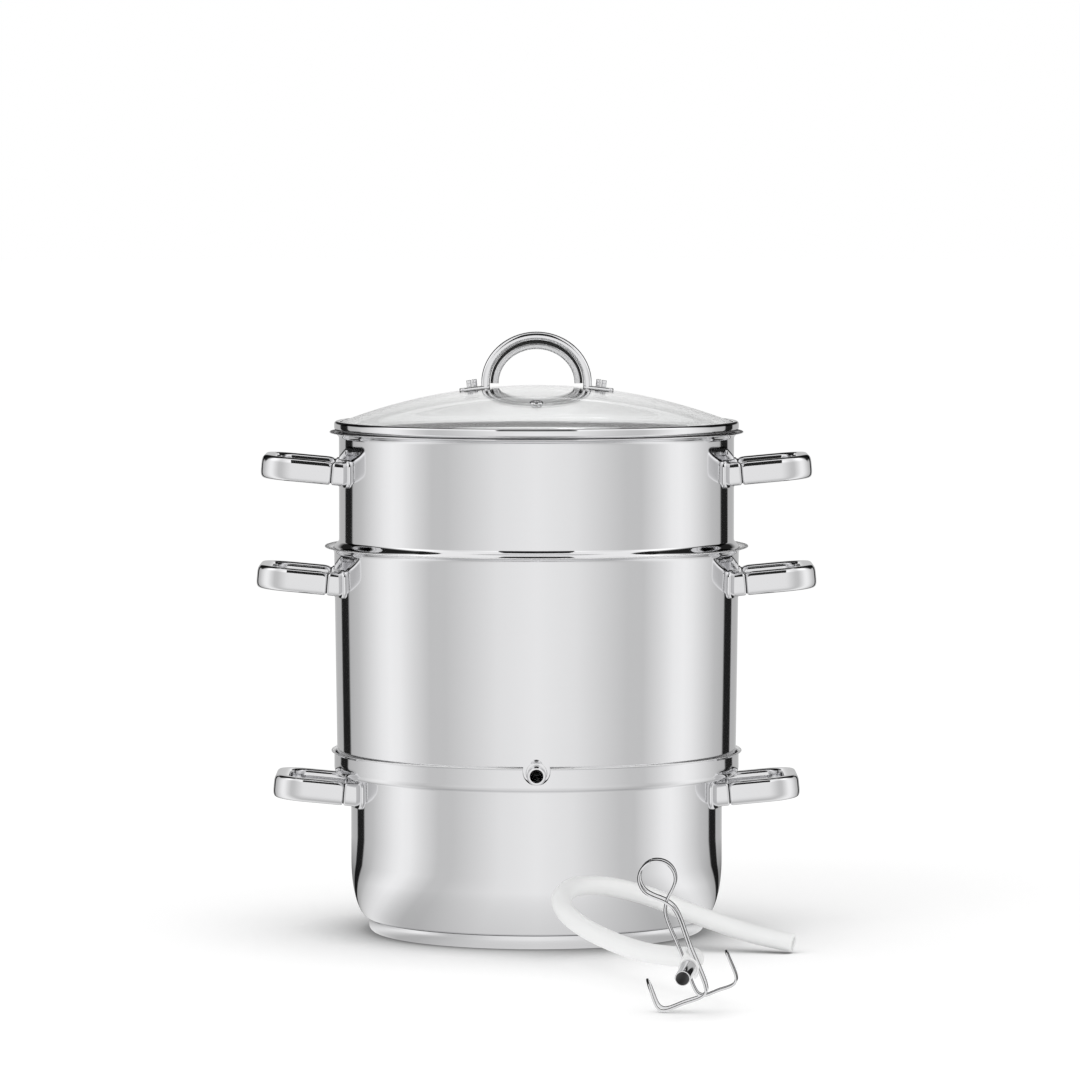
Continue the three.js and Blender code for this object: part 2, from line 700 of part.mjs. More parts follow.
// Half of an ellipse's ring, with a straight leg of the given length at each end if it has one,
// as a bevelled plate along Y.
function arch(halfWidth, rise, thickness, depth, leg = 0) {
  const middle = at(0, domeTop + ARCH_LIFT);
  const low = middle.y - leg;
  const inside = halfWidth - thickness;
  const outer = arc(middle, at(halfWidth, rise), 0, 180, ARCH_STEPS);
  const inner = arc(middle, at(inside, rise - thickness), 180, 0, ARCH_STEPS);
  const leftFoot = leg > 0 ? [at(-halfWidth, low), at(-inside, low)] : [];
  const rightFoot = leg > 0 ? [at(inside, low), at(halfWidth, low)] : [];
  const shape = new THREE.Shape([...outer, ...leftFoot, ...inner, ...rightFoot]);
  const plate = new THREE.ExtrudeGeometry(shape, {
    depth: depth - 2 * ARCH_BEVEL,
    bevelThickness: ARCH_BEVEL,
    bevelSize: ARCH_BEVEL,
    bevelOffset: -ARCH_BEVEL,
    bevelSegments: 1,
  });
  plate.rotateX(QUARTER);
  return solid(plate.translate(0, depth / 2 - ARCH_BEVEL, 0));
}

function tabOutline(side) {
  const inner = ARCH_HALF_WIDTH - TAB_ROOT;
  const outer = ARCH_HALF_WIDTH + TAB_REACH;
  const shape = cutRectangle(outer - inner, STRAP_DEPTH, TAB_CHAMFER);
  const block = prism(shape, ARCH_HALF_WIDTH);
  return solid(block.translate((side * (inner + outer)) / 2, 0, domeTop - ARCH_HALF_WIDTH / 2));
}

function addLidHandle() {
  const leg = ARCH_LIFT + OVERRUN;
  const sides = [[-1, 'left'], [1, 'right']];
  const tabLayer = domeLayer(GAP, GAP + TAB);
  const below = [at(0, lidFoot), ...domeFace(GLASS_CURVE + GAP, glassSeat).reverse()];
  below.splice(1, 0, at(glassSeat, lidFoot));
  const dome = solid(turned(below));
  let strap = arch(ARCH_HALF_WIDTH, ARCH_RISE, STRAP, STRAP_DEPTH, leg).subtract(dome);
  for (const [side] of sides) {
    strap = strap.add(tabOutline(side).intersect(tabLayer)).subtract(studHoles(side));
  }
  addPiece('lid_handle_strap', strap, polishedSteel);
  const inset = STRAP + GAP;
  const liner = arch(ARCH_HALF_WIDTH - inset, ARCH_RISE - inset, LINER, LINER_DEPTH);
  addPiece('lid_handle_liner', liner, satinSteel);
  const backingLayer = domeLayer(-GLASS - GAP - BACKING, -GLASS - GAP);
  for (const [side, name] of sides) {
    const places = studPlaces(side).map(([x]) => Math.abs(x));
    const width = Math.max(...places) - Math.min(...places) + 2 * BACKING_MARGIN;
    const middle = (side * (places[0] + places[1])) / 2;
    const plate = prism(cutRectangle(width, STRAP_DEPTH, TAB_CHAMFER), ARCH_HALF_WIDTH);
    plate.translate(middle, 0, domeTop - ARCH_HALF_WIDTH);
    const backing = solid(plate).intersect(backingLayer).subtract(studHoles(side));
    addPiece(`lid_backing_${name}`, backing, satinSteel);
    addStuds(side, `lid_${name}`);
  }
}

function addVent() {
  const under = -GLASS - GAP;
  const outline = [
    at(VENT_BORE_RADIUS, under - VENT_FLANGE),
    at(VENT_FLANGE_RADIUS - VENT_FLANGE, under - VENT_FLANGE),
    at(VENT_FLANGE_RADIUS - VENT_FLANGE, under),
    at(VENT_BARREL_RADIUS, under),
    at(VENT_BARREL_RADIUS, GAP),
    at(VENT_FLANGE_RADIUS, GAP),
    at(VENT_FLANGE_RADIUS - VENT_FLANGE, GAP + VENT_FLANGE),
    at(VENT_BORE_RADIUS, GAP + VENT_FLANGE),
    at(VENT_BORE_RADIUS, under - VENT_FLANGE),
  ];
  addPiece('lid_vent', solid(stoodOnDome(turned(outline, PIN_SIDES), 0, -VENT_PLACE)), satinSteel);
}

function addLidGlass() {
  const seat = lidFoot + SHEET + GAP;
  const under = domeFace(GLASS_CURVE - GLASS, skirtRadius);
  const over = domeFace(GLASS_CURVE, glassRadius);
  const edge = [at(glassRadius - BAND_ROUND, seat), at(glassRadius, seat + BAND_ROUND)];
  const outline = [...under, ...edge, ...over.reverse()];
  const holeRadius = VENT_BARREL_RADIUS + GAP;
  const hole = new THREE.CylinderGeometry(holeRadius, holeRadius, GLASS + 2 * OVERRUN, PIN_SIDES);
  const ventHole = solid(stoodOnDome(hole.rotateX(QUARTER), 0, -VENT_PLACE));
  const holes = ventHole.add(studHoles(-1)).add(studHoles(1));
  addPiece('lid_glass', solid(turned(outline)).subtract(holes), clearGlass);
}

function addLid() {
  const band = sheetOutline(bandPath()).map((point) => at(point.x, point.y + lidFoot));
  addPiece('lid_band', solid(turned(band)), polishedSteel);
  addLidGlass();
  addVent();
  addLidHandle();
}

// Hose, nozzle and clamp
const clampFrame = new THREE.Matrix4()
  .makeRotationFromEuler(new THREE.Euler(CLAMP_PITCH, CLAMP_LEAN, CLAMP_YAW, 'ZXY'))
  .setPosition(...CLAMP_PLACE);

// The hose is squeezed flat between the jaws, along the clamp's own X, and widens along its Z.
function pinch(geometry) {
  const inward = clampFrame.clone().invert();
  const places = geometry.attributes.position;
  const place = new THREE.Vector3();
  for (let i = 0; i < places.count; i += 1) {
    place.fromBufferAttribute(places, i).applyMatrix4(inward);
    const near = Math.abs(place.y) < PINCH_HALF_LENGTH && place.length() < 2 * HOSE_RADIUS;
    if (near) {
      place.multiply(new THREE.Vector3(PINCH_FLAT_SHARE, 1, PINCH_WIDE_SHARE));
      place.applyMatrix4(clampFrame);
      places.setXYZ(i, place.x, place.y, place.z);
    }
  }
  return geometry;
}

function addHose() {
  const points = HOSE_POINTS.map((point) => new THREE.Vector3(...point));
  const curve = new THREE.CatmullRomCurve3(points, false, 'centripetal');
  const tube = swept(curve, roundSection(HOSE_RADIUS, HOSE_SIDES), HOSE_STEPS);
  addPiece('hose', solid(pinch(tube)), silicone);
}

function addNozzle() {
  const outline = ringOutline(NOZZLE_BORE_RADIUS, NOZZLE_RADIUS, 0, NOZZLE_LENGTH);
  const tube = turned(outline, NOZZLE_SIDES).rotateX(QUARTER);
  tube.translate(0, -HOSE_PAST_PINCH - GAP, 0);
  addPiece('hose_nozzle', solid(tube.applyMatrix4(clampFrame)), polishedSteel);
}

// One strand of a clamp half, from the ring's top down its jaw and out to its fluke's tip.
// side is the side of its arm. Its jaw is on the other side, its half ring on the same one.
function strandPoints(side, arm, strand) {
  const ringTop = RING_ABOVE_PINCH + RING_RADIUS;
  const middle = at(0, RING_ABOVE_PINCH);
  const ring = arc(middle, at(side * RING_RADIUS, RING_RADIUS), 90, RING_END, RING_STEPS);
  const neck = RING_ABOVE_PINCH - NECK_BELOW_RING;
  const low = -ARM_BELOW_PINCH;
  const jaw = -side * JAW_OFFSET;
  const end = side * arm;
  const tipHeight = low + FLUKE_HEIGHT;
  const bendStep = ARM_BEND / 3;
  return [
    [side * (GAP / 2), ringTop, RING_STRAND],
    [side * (GAP / 2 + WIRE_RADIUS), ringTop, RING_STRAND],
    ...ring.slice(1).map((p, i) => {
      const share = (i + 1) / (ring.length - 1);
      return [p.x, p.y, RING_STRAND + (strand - RING_STRAND) * share];
    }),
    [0, neck, strand],
    [jaw, neck - 2 * JAW_OFFSET, strand],
    [jaw, (neck + low) / 2, strand],
    [jaw, low + ARM_BEND, strand],
    [jaw + side * bendStep, low + bendStep, strand],
    [jaw + side * ARM_BEND, low, strand],
    [(jaw + end) / 2, low, strand],
    [end - side * ARM_BEND, low, strand],
    [end - side * bendStep, low + bendStep, strand],
    [end, low + ARM_BEND, strand],
    [end, tipHeight - ARM_BEND, (strand + TIP_STRAND) / 2],
    [end, tipHeight - TIP_STRAND, TIP_STRAND],
  ];
}

function clampHalf(side, arm, strand) {
  const front = strandPoints(side, arm, strand);
  const tip = [side * arm, FLUKE_HEIGHT - ARM_BELOW_PINCH, 0];
  const back = front.map(([u, v, w]) => [u, v, -w]).reverse();
  const points = [...front, tip, ...back].map(([u, v, w]) => new THREE.Vector3(u, -w, v));
  const curve = new THREE.CatmullRomCurve3(points, false, 'centripetal');
  const wire = swept(curve, roundSection(WIRE_RADIUS, WIRE_SIDES), WIRE_STEPS);
  return solid(wire.applyMatrix4(clampFrame));
}

function addClamp() {
  addPiece('clamp_wire_left', clampHalf(-1, LEFT_ARM, OUTER_STRAND), springSteel);
  addPiece('clamp_wire_right', clampHalf(1, RIGHT_ARM, INNER_STRAND), springSteel);
}

addWaterPot();
addCollector();
addBasket();
addLid();
addHose();
addNozzle();
addClamp();

export default group;
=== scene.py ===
import math

import bmesh
import bpy
import numpy as np
from bpy.props import FloatProperty, FloatVectorProperty, IntProperty, PointerProperty
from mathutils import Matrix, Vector


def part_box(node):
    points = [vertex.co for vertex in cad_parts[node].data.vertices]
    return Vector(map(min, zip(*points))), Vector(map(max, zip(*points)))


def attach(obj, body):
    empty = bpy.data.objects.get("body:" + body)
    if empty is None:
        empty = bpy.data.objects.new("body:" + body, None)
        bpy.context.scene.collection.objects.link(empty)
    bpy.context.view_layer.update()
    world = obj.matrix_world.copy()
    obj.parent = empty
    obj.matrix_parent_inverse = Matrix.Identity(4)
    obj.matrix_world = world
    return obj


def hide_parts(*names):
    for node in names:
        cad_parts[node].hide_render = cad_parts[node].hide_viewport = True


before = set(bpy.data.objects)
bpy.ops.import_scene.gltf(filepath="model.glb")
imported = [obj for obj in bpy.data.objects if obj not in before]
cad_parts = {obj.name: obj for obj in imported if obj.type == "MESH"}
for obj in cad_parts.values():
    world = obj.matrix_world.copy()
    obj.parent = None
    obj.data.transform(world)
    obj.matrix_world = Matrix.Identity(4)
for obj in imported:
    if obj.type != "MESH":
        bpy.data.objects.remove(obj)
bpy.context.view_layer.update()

bl_info = {
    "name": "Steam juicer",
    "version": (1, 0, 0),
    "blender": (4, 5, 0),
    "location": "3D View > Sidebar > Juicer",
    "description": "Builds a steam juicer over its packed frame",
    "category": "Add Mesh",
}

MM = 0.001
COLUMNS = 38  # of sieve holes, and of flats round each pot of the frame
SIDES = 6 * COLUMNS  # round each turned piece
ROUND = math.cos(math.pi / COLUMNS)  # a round pot touches the middle of the frame's flats

# Heights and radii that the frame's pieces have
LIP_EDGE = 0.7  # the flat edge of a pot's lip
POT_RADIUS = 120.0
POT_RIM = 117.0
POT_FOOT = 9.0
COLLAR_RADIUS = 130.8
COLLAR_STEP_HEIGHT = 101.2
COLLECTOR_FOOT = 102.3
COLLECTOR_RIM = 248.8
COLLECTOR_FOOT_RADIUS = 128.75
COLLECTOR_RADIUS = 130.7
COLLECTOR_BEND = COLLECTOR_FOOT + 8.5
COLLECTOR_TOP = COLLECTOR_RIM - 4.6
SPIGOT_HEIGHT = COLLECTOR_FOOT + 11.4
PAD_PLACES = (-33.0, 33.0)  # the middles of a handle's two pads, along Y
BASKET_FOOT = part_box("basket_shell")[0].z / MM
BASKET_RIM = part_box("basket_shell")[1].z / MM
BASKET_WALL_RADIUS = 126.0
BASKET_UPPER_RADIUS = 127.5
BEAD_RADIUS = 131.2
BEAD_CREST = 78.9
BEAD_REACH = 5.5
HOLE_ROWS = (8.9, 24.5, 40.1, 55.7)
SKIRT_DROP = 6.7
LID_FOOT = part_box("lid_band")[0].z / MM + SKIRT_DROP
SKIRT_RADIUS = 122.2
BAND_RADIUS = 130.6
GLASS_RADIUS = 129.5
GLASS_CURVE = 349.0
DOME_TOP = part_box("lid_glass")[1].z / MM
DOME_MIDDLE = DOME_TOP - GLASS_CURVE
ARCH_HALF_WIDTH = 35.5
ARCH_RISE = 33.1
ARCH_LIFT = 1.4
STRAP = 5.6
STUD_PLACES = ((-39.5, 3.6), (-42.9, -3.6), (39.5, 3.6), (42.9, -3.6))
VENT_PLACE = (0.0, -78.0)

# The hose's route, from its free end to its nozzle end, as the frame's hose follows it, in metres
HOSE_ROUTE = np.array([
    (0.161, -0.125, 0.0066), (0.138, -0.1188, 0.011), (0.115, -0.113, 0.0176),
    (0.0925, -0.1091, 0.0256), (0.0695, -0.1091, 0.0344), (0.045, -0.1189, 0.0415),
    (0.025, -0.1398, 0.0438), (0.0156, -0.168, 0.0406), (0.018, -0.198, 0.0348),
    (0.0285, -0.229, 0.0294), (0.046, -0.266, 0.025), (0.0635, -0.304, 0.0236),
    (0.079, -0.338, 0.0254), (0.0878, -0.361, 0.0278), (0.0912, -0.3737, 0.0291),
    (0.0918, -0.3867, 0.0296), (0.0881, -0.4133, 0.0278),
])
CLAMP_PLACE = np.array((90.0, -400.0, 28.7))
CLAMP_AXES = np.array(((0.92102, -0.15468, 0.35749), (0.13883, 0.98786, 0.06976),
                       (-0.36394, -0.01461, 0.93131)))


# Settings

class SteelSettings(bpy.types.PropertyGroup):
    """The pressed steel of the pots and the lid's rim."""

    thickness: FloatProperty(
        name="Sheet", description="Thickness of the pressed steel",
        default=0.0008, min=0.0004, max=0.0015, unit="LENGTH", precision=4)
    colour: FloatVectorProperty(
        name="Steel", description="Colour of the bare stainless steel",
        default=(0.80, 0.80, 0.81), min=0.0, max=1.0, size=3, subtype="COLOR")
    inside: FloatVectorProperty(
        name="Inside", description="Colour of the brushed steel inside the pots",
        default=(0.93, 0.93, 0.935), min=0.0, max=1.0, size=3, subtype="COLOR")
    polish: FloatProperty(
        name="Polish", description="Roughness of the mirror polished faces",
        default=0.06, min=0.0, max=0.5, subtype="FACTOR")
    brush: FloatProperty(
        name="Brush", description="Roughness of the brushed faces inside",
        default=0.29, min=0.05, max=0.8, subtype="FACTOR")


class BasketSettings(bpy.types.PropertyGroup):
    """The sieve holes of the fruit basket."""

    hole: FloatProperty(
        name="Hole", description="Diameter of a sieve hole",
        default=0.0048, min=0.002, max=0.007, unit="LENGTH", precision=4)


class HandleSettings(bpy.types.PropertyGroup):
    """The loop handles on the sides of the pots."""

    tall: FloatProperty(
        name="Height", description="Height of the handle's bar",
        default=0.015, min=0.008, max=0.015, unit="LENGTH", precision=4)
    wide: FloatProperty(
        name="Width", description="Width of the handle's bar seen from above",
        default=0.010, min=0.006, max=0.010, unit="LENGTH", precision=4)
    squareness: FloatProperty(
        name="Squareness", description="Exponent of the bar's section, 2 for an ellipse",
        default=3.8, min=2.0, max=8.0)


class LidSettings(bpy.types.PropertyGroup):
    """The glass dome and the arch over it."""

    glass: FloatProperty(
        name="Glass", description="Thickness of the glass",
        default=0.004, min=0.003, max=0.005, unit="LENGTH", precision=4)
    tint: FloatVectorProperty(
        name="Tint", description="Colour that the glass gives to what is seen through it",
        default=(0.99, 0.995, 0.993), min=0.0, max=1.0, size=3, subtype="COLOR")


class HoseSettings(bpy.types.PropertyGroup):
    """The silicone hose."""

    diameter: FloatProperty(
        name="Diameter", description="Outer diameter of the hose",
        default=0.012, min=0.010, max=0.012, unit="LENGTH", precision=4)
    bore: FloatProperty(
        name="Bore", description="Inner diameter of the hose",
        default=0.0085, min=0.006, max=0.010, unit="LENGTH", precision=4)
    colour: FloatVectorProperty(
        name="Silicone", description="Colour of the milky silicone",
        default=(0.975, 0.98, 0.975), min=0.0, max=1.0, size=3, subtype="COLOR")


class ClampSettings(bpy.types.PropertyGroup):
    """The spring clamp's wire."""

    wire: FloatProperty(
        name="Wire", description="Diameter of the clamp's wire",
        default=0.0017, min=0.001, max=0.002, unit="LENGTH", precision=4)


class StageSettings(bpy.types.PropertyGroup):
    """The camera, the floor and the light."""

    distance: FloatProperty(
        name="Distance", description="How far the camera stands in front of the object",
        default=4.0, min=1.0, max=10.0, unit="LENGTH")
    height: FloatProperty(
        name="Height", description="Height of the camera above the floor",
        default=0.49, min=0.0, max=3.0, unit="LENGTH")
    lens: FloatProperty(
        name="Lens", description="Focal length of the camera in millimetres",
        default=207.36, min=20.0, max=400.0)
    ambient: FloatProperty(
        name="Ambient", description="Strength of the even light round the object",
        default=0.88, min=0.0, max=2.0)
    key: FloatProperty(
        name="Key", description="Power of the soft lamp above the front left, in watts",
        default=8.0, min=0.0, max=100.0)
    mirror_steps: IntProperty(
        name="Card sides", description="Sides of the ring of cards that the steel mirrors",
        default=96, min=24, max=256)


GROUPS = {
    "juicer_steel": SteelSettings,
    "juicer_basket": BasketSettings,
    "juicer_handles": HandleSettings,
    "juicer_lid": LidSettings,
    "juicer_hose": HoseSettings,
    "juicer_clamp": ClampSettings,
    "juicer_stage": StageSettings,
}


# Lines and surfaces. A line is an array of points (n, 2) or (n, 3); a patch is a list of corners
# (n, 3), its quads (m, 4) as corner numbers, and a material number for each quad.

def arc(middle, radii, start, end, steps):
    """Points on an ellipse's arc: the middle, plus the radii times the cosine and the sine of an
    angle that runs evenly from start to end, in degrees."""
    angle = np.radians(np.linspace(start, end, steps + 1))
    return np.column_stack((middle[0] + radii[0] * np.cos(angle),
                            middle[1] + radii[1] * np.sin(angle)))


def unit(vectors):
    """Each vector divided by its own length."""
    return vectors / np.linalg.norm(vectors, axis=-1, keepdims=True)


def rounded(corners, steps=6, loop=False):
    """A line through (x, y, radius) corners. Each corner is an arc of its radius that touches
    both of its sides: its middle lies on the bisector, radius / sin(half angle) from the
    corner."""
    xy = np.array([corner[:2] for corner in corners], float)
    count = len(corners)
    parts = []
    for i, corner in enumerate(corners):
        if corner[2] == 0 or (not loop and i in (0, count - 1)):
            parts.append(xy[i:i + 1])
            continue
        before, after = unit(xy[i - 1] - xy[i]), unit(xy[(i + 1) % count] - xy[i])
        half = math.acos(float(np.clip(before @ after, -1, 1))) / 2
        middle = xy[i] + unit(before + after) * corner[2] / math.sin(half)
        reach = corner[2] / math.tan(half)
        first, last = xy[i] + before * reach - middle, xy[i] + after * reach - middle
        turn = math.atan2(first[0] * last[1] - first[1] * last[0], first @ last)
        angle = math.atan2(first[1], first[0]) + np.linspace(0, turn, steps + 1)
        parts.append(middle + corner[2] * np.column_stack((np.cos(angle), np.sin(angle))))
    return np.concatenate(parts)


def joined(*parts):
    """The parts as one line, without the points that lie on the one before."""
    line = np.concatenate([np.atleast_2d(np.asarray(part, float)) for part in parts])
    apart = np.linalg.norm(np.diff(line, axis=0), axis=1) > 1e-5
    return line[np.concatenate(([True], apart))]


def beside(line, distance):
    """The line moved to its left: each point goes along the mean of the normals of its two
    sides, divided by that mean's squared length, so that both sides move by the distance."""
    way = unit(np.diff(line, axis=0))
    normal = np.column_stack((-way[:, 1], way[:, 0]))
    mean = np.concatenate((normal[:1], (normal[:-1] + normal[1:]) / 2, normal[-1:]))
    return line + mean * distance / np.sum(mean * mean, axis=1, keepdims=True)


def half_round(first, last, way):
    """Five points of half a circle between two points, bulging towards way."""
    middle, out = (first + last) / 2, (first - last) / 2
    angle = np.linspace(0, math.pi, 7)[1:-1, None]
    return middle + np.cos(angle) * out + np.sin(angle) * way * np.linalg.norm(out)


def sheet_outline(line, thickness):
    """The outline of a sheet whose outer face follows the line and whose inner face lies to its
    left. Half a circle closes each end that is off the axis. Returns the outline, how many of
    its sides belong to the outer face, and whether it runs back to its start."""
    inner = beside(line, thickness)
    ways = unit(np.diff(line, axis=0))
    outline = [line, half_round(line[-1], inner[-1], ways[-1]), inner[::-1]]
    closed = line[0, 0] > 1e-6
    if closed:
        outline.append(half_round(inner[0], line[0], -ways[0]))
    return np.concatenate(outline), len(line) + 2, closed


def grid(points, wrap_rows=False, wrap_columns=False, numbers=0):
    """The patch of a grid of points (rows, columns, 3): a quad between each four neighbours.
    numbers is one material number, or one for each row of quads."""
    rows, columns = points.shape[:2]
    index = np.arange(rows * columns).reshape(rows, columns)
    if wrap_rows:
        index = np.concatenate((index, index[:1]))
    if wrap_columns:
        index = np.concatenate((index, index[:, :1]), axis=1)
    quads = np.stack((index[:-1, :-1], index[:-1, 1:], index[1:, 1:], index[1:, :-1]), axis=-1)
    marks = np.broadcast_to(np.reshape(numbers, (-1, 1)), quads.shape[:2])
    return points.reshape(-1, 3), quads.reshape(-1, 4), marks.reshape(-1)


def turned(outline, closed=False, sides=SIDES, numbers=0, scale=ROUND):
    """A surface of revolution: a point (r, z) of the outline goes round the Z axis, so that
    x = r sin a, y = -r cos a, with a in even steps, the first of them at the front."""
    angle = 2 * math.pi * np.arange(sides) / sides
    radius, height = outline[:, :1] * scale, outline[:, 1:]
    points = np.stack((radius * np.sin(angle), -radius * np.cos(angle),
                       np.broadcast_to(height, (len(outline), sides))), axis=-1)
    return grid(points, wrap_rows=closed, wrap_columns=True, numbers=numbers)


def carried_frames(line):
    """Two unit vectors square to a line (n, 3) at each of its points, carried along it without
    twist: at each step both turn as the line does, by two mirrorings."""
    tangent = unit(np.gradient(line, axis=0))
    start = np.cross(tangent[0], np.eye(3)[np.argmin(np.abs(tangent[0]))])
    side = [start / np.linalg.norm(start)]
    for here, there, way, next_way in zip(line[:-1], line[1:], tangent[:-1], tangent[1:]):
        step = there - here
        mirrored = side[-1] - 2 / (step @ step) * (step @ side[-1]) * step
        way = way - 2 / (step @ step) * (step @ way) * step
        turn = next_way - way
        if turn @ turn > 1e-16:
            mirrored = mirrored - 2 / (turn @ turn) * (turn @ mirrored) * turn
        side.append(mirrored)
    side = unit(np.array(side))
    return side, np.cross(tangent, side)


def flat_frames(line, way):
    """Frames of a line in a plane: the side vector lies in the plane, square to the line, and
    the up vector is the plane's own way."""
    up = np.broadcast_to(way, line.shape)
    return np.cross(unit(np.gradient(line, axis=0)), up), up


def swept(line, section, frames=None):
    """A section (k, 2), or one for each point (n, k, 2), carried along a line (n, 3): point plus
    the section's first number times the side vector plus its second times the up vector."""
    side, up = carried_frames(line) if frames is None else frames
    section = np.broadcast_to(section, (len(line),) + np.shape(section)[-2:])
    return line[:, None] + section[..., :1] * side[:, None] + section[..., 1:] * up[:, None]


def tube(points, numbers=0):
    """The patch of a tube's grid, with each end closed by a fan to the middle of its ring."""
    first, last = (np.broadcast_to(ring.mean(axis=1, keepdims=True), ring.shape)
                   for ring in (points[:1], points[-1:]))
    return grid(np.concatenate((first, points, last)), wrap_columns=True, numbers=numbers)


def circle(radius, sides):
    """A round section: radius times the cosine and the sine of even angles."""
    angle = 2 * math.pi * np.arange(sides) / sides
    return radius * np.column_stack((np.cos(angle), np.sin(angle)))


def rectangle(width, height, radius, steps=6):
    """A section with round corners of the radius, centred."""
    x, y = width / 2, height / 2
    return rounded([(-x, -y, radius), (x, -y, radius), (x, y, radius), (-x, y, radius)], steps,
                   loop=True)


def superellipse(width, height, power, sides):
    """A section between an ellipse and a rectangle: half the width and half the height times
    the cosine and the sine of even angles, each raised to 2 / power with its sign kept."""
    angle = 2 * math.pi * (np.arange(sides) + 0.5) / sides
    wave = np.column_stack((np.cos(angle), np.sin(angle)))
    return np.array((width / 2, height / 2)) * np.sign(wave) * np.abs(wave) ** (2 / power)


def through(points, steps):
    """A centripetal Catmull-Rom curve through points (n, d). Between two points it is the cubic
    whose slopes there are the ones of the parabola through three neighbours, with each gap
    counted as the square root of its length. Past an end the line is mirrored."""
    before, after = 2 * points[:1] - points[1:2], 2 * points[-1:] - points[-2:-1]
    points = np.concatenate((before, points, after))
    gap = np.linalg.norm(np.diff(points, axis=0), axis=1)[:, None] ** 0.5
    p0, p1, p2, p3 = points[:-3], points[1:-2], points[2:-1], points[3:]
    g0, g1, g2 = gap[:-2], gap[1:-1], gap[2:]
    slope1 = ((p1 - p0) / g0 - (p2 - p0) / (g0 + g1) + (p2 - p1) / g1) * g1
    slope2 = ((p2 - p1) / g1 - (p3 - p1) / (g1 + g2) + (p3 - p2) / g2) * g1
    t = np.linspace(0, 1, steps, endpoint=False)[:, None, None]
    second = -3 * p1 + 3 * p2 - 2 * slope1 - slope2
    third = 2 * p1 - 2 * p2 + slope1 + slope2
    curve = p1 + t * (slope1 + t * (second + t * third))
    return np.concatenate((curve.transpose(1, 0, 2).reshape(-1, points.shape[1]), points[-2:-1]))


def lengths_of(line):
    """How far along the line each of its points lies."""
    return np.concatenate(([0], np.cumsum(np.linalg.norm(np.diff(line, axis=0), axis=1))))


def at_length(line, lengths, places):
    """The line's points at places given as lengths, by linear interpolation."""
    return np.stack([np.interp(places, lengths, part) for part in line.T], axis=-1)


def along(line, spacing):
    """The line's points redrawn at even distances."""
    lengths = lengths_of(line)
    count = max(2, round(lengths[-1] / spacing) + 1)
    return at_length(line, lengths, np.linspace(0, lengths[-1], count))


def loop_along(outline, spacing):
    """A closed outline's points redrawn at even distances."""
    return along(np.concatenate((outline, outline[:1])), spacing)[:-1]


def mesh_piece(name, patches, sharp, uv=None):
    """One closed mesh object of patches in millimetres. Corners that meet are welded, which also
    closes the poles, and faces are turned outwards. uv gives each quad's four corners their
    place in a UV map."""
    corners = np.concatenate([patch[0] for patch in patches]) * MM
    starts = np.cumsum([0] + [len(patch[0]) for patch in patches[:-1]])
    quads = np.concatenate([patch[1] + start for patch, start in zip(patches, starts)])
    marks = np.concatenate([patch[2] for patch in patches]).astype(np.int32)
    mesh = bpy.data.meshes.new(name)
    mesh.from_pydata(corners.tolist(), [], quads.tolist())
    mesh.polygons.foreach_set("material_index", marks)
    if uv is not None:
        mesh.uv_layers.new(name="UVMap").data.foreach_set("uv", uv.reshape(-1))
    shape = bmesh.new()
    shape.from_mesh(mesh)
    bmesh.ops.remove_doubles(shape, verts=shape.verts[:], dist=1.5e-6)
    bmesh.ops.recalc_face_normals(shape, faces=shape.faces[:])
    if shape.calc_volume(signed=True) < 0:
        bmesh.ops.reverse_faces(shape, faces=shape.faces[:])
    loose = sum(1 for edge in shape.edges if not edge.is_manifold)
    shape.to_mesh(mesh)
    shape.free()
    if loose:
        raise ValueError(f"{name} has {loose} open edges")
    smooth(mesh, sharp)
    piece = bpy.data.objects.new(name, mesh)
    bpy.context.scene.collection.objects.link(piece)
    return piece


def smooth(mesh, sharp):
    """Smooth shading, with the edges sharp that turn by more than the angle in degrees."""
    mesh.shade_smooth()
    mesh.set_sharp_from_angle(angle=math.radians(sharp))


def build(name, patches, looks, body, node, sharp=32.0, uv=None):
    """A piece of the object, with the finishes that are named in one string. It rides on the
    body and stands for the node, which it hides."""
    piece = mesh_piece(name, patches, sharp, uv)
    for look in looks.split():
        piece.data.materials.append(finish(look))
    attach(piece, body)
    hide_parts(node)
    return piece


def refinish(node, look):
    """A piece of the frame that stays as it is, with a finish of the object."""
    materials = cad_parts[node].data.materials
    materials.clear()
    materials.append(finish(look))


def carve(piece, name, patches, sharp=32.0):
    """Cuts the closed shape of the patches out of the piece by an exact Boolean."""
    cutter = mesh_piece(name, patches, sharp)
    modifier = piece.modifiers.new("carve", "BOOLEAN")
    modifier.operation = "DIFFERENCE"
    modifier.solver = "EXACT"
    modifier.object = cutter
    bpy.context.view_layer.update()
    evaluated = piece.evaluated_get(bpy.context.evaluated_depsgraph_get())
    mesh = bpy.data.meshes.new_from_object(evaluated)
    piece.modifiers.clear()
    waste = piece.data, cutter.data
    piece.data = mesh
    mesh.name = piece.name
    bpy.data.objects.remove(cutter)
    for old in waste:
        bpy.data.meshes.remove(old)
    smooth(mesh, sharp)


def rod(radius, start, end, sides=32):
    """A closed cylinder's patch between two points."""
    return tube(swept(np.array((start, end), float), circle(radius, sides)))


def turned_part(outline, sides, move, closed=True, numbers=0):
    """A small surface of revolution, truly round, whose corners a function of x, y and z moves
    to their place."""
    corners, quads, marks = turned(outline, closed, sides, numbers, scale=1.0)
    return move(*corners.T), quads, marks


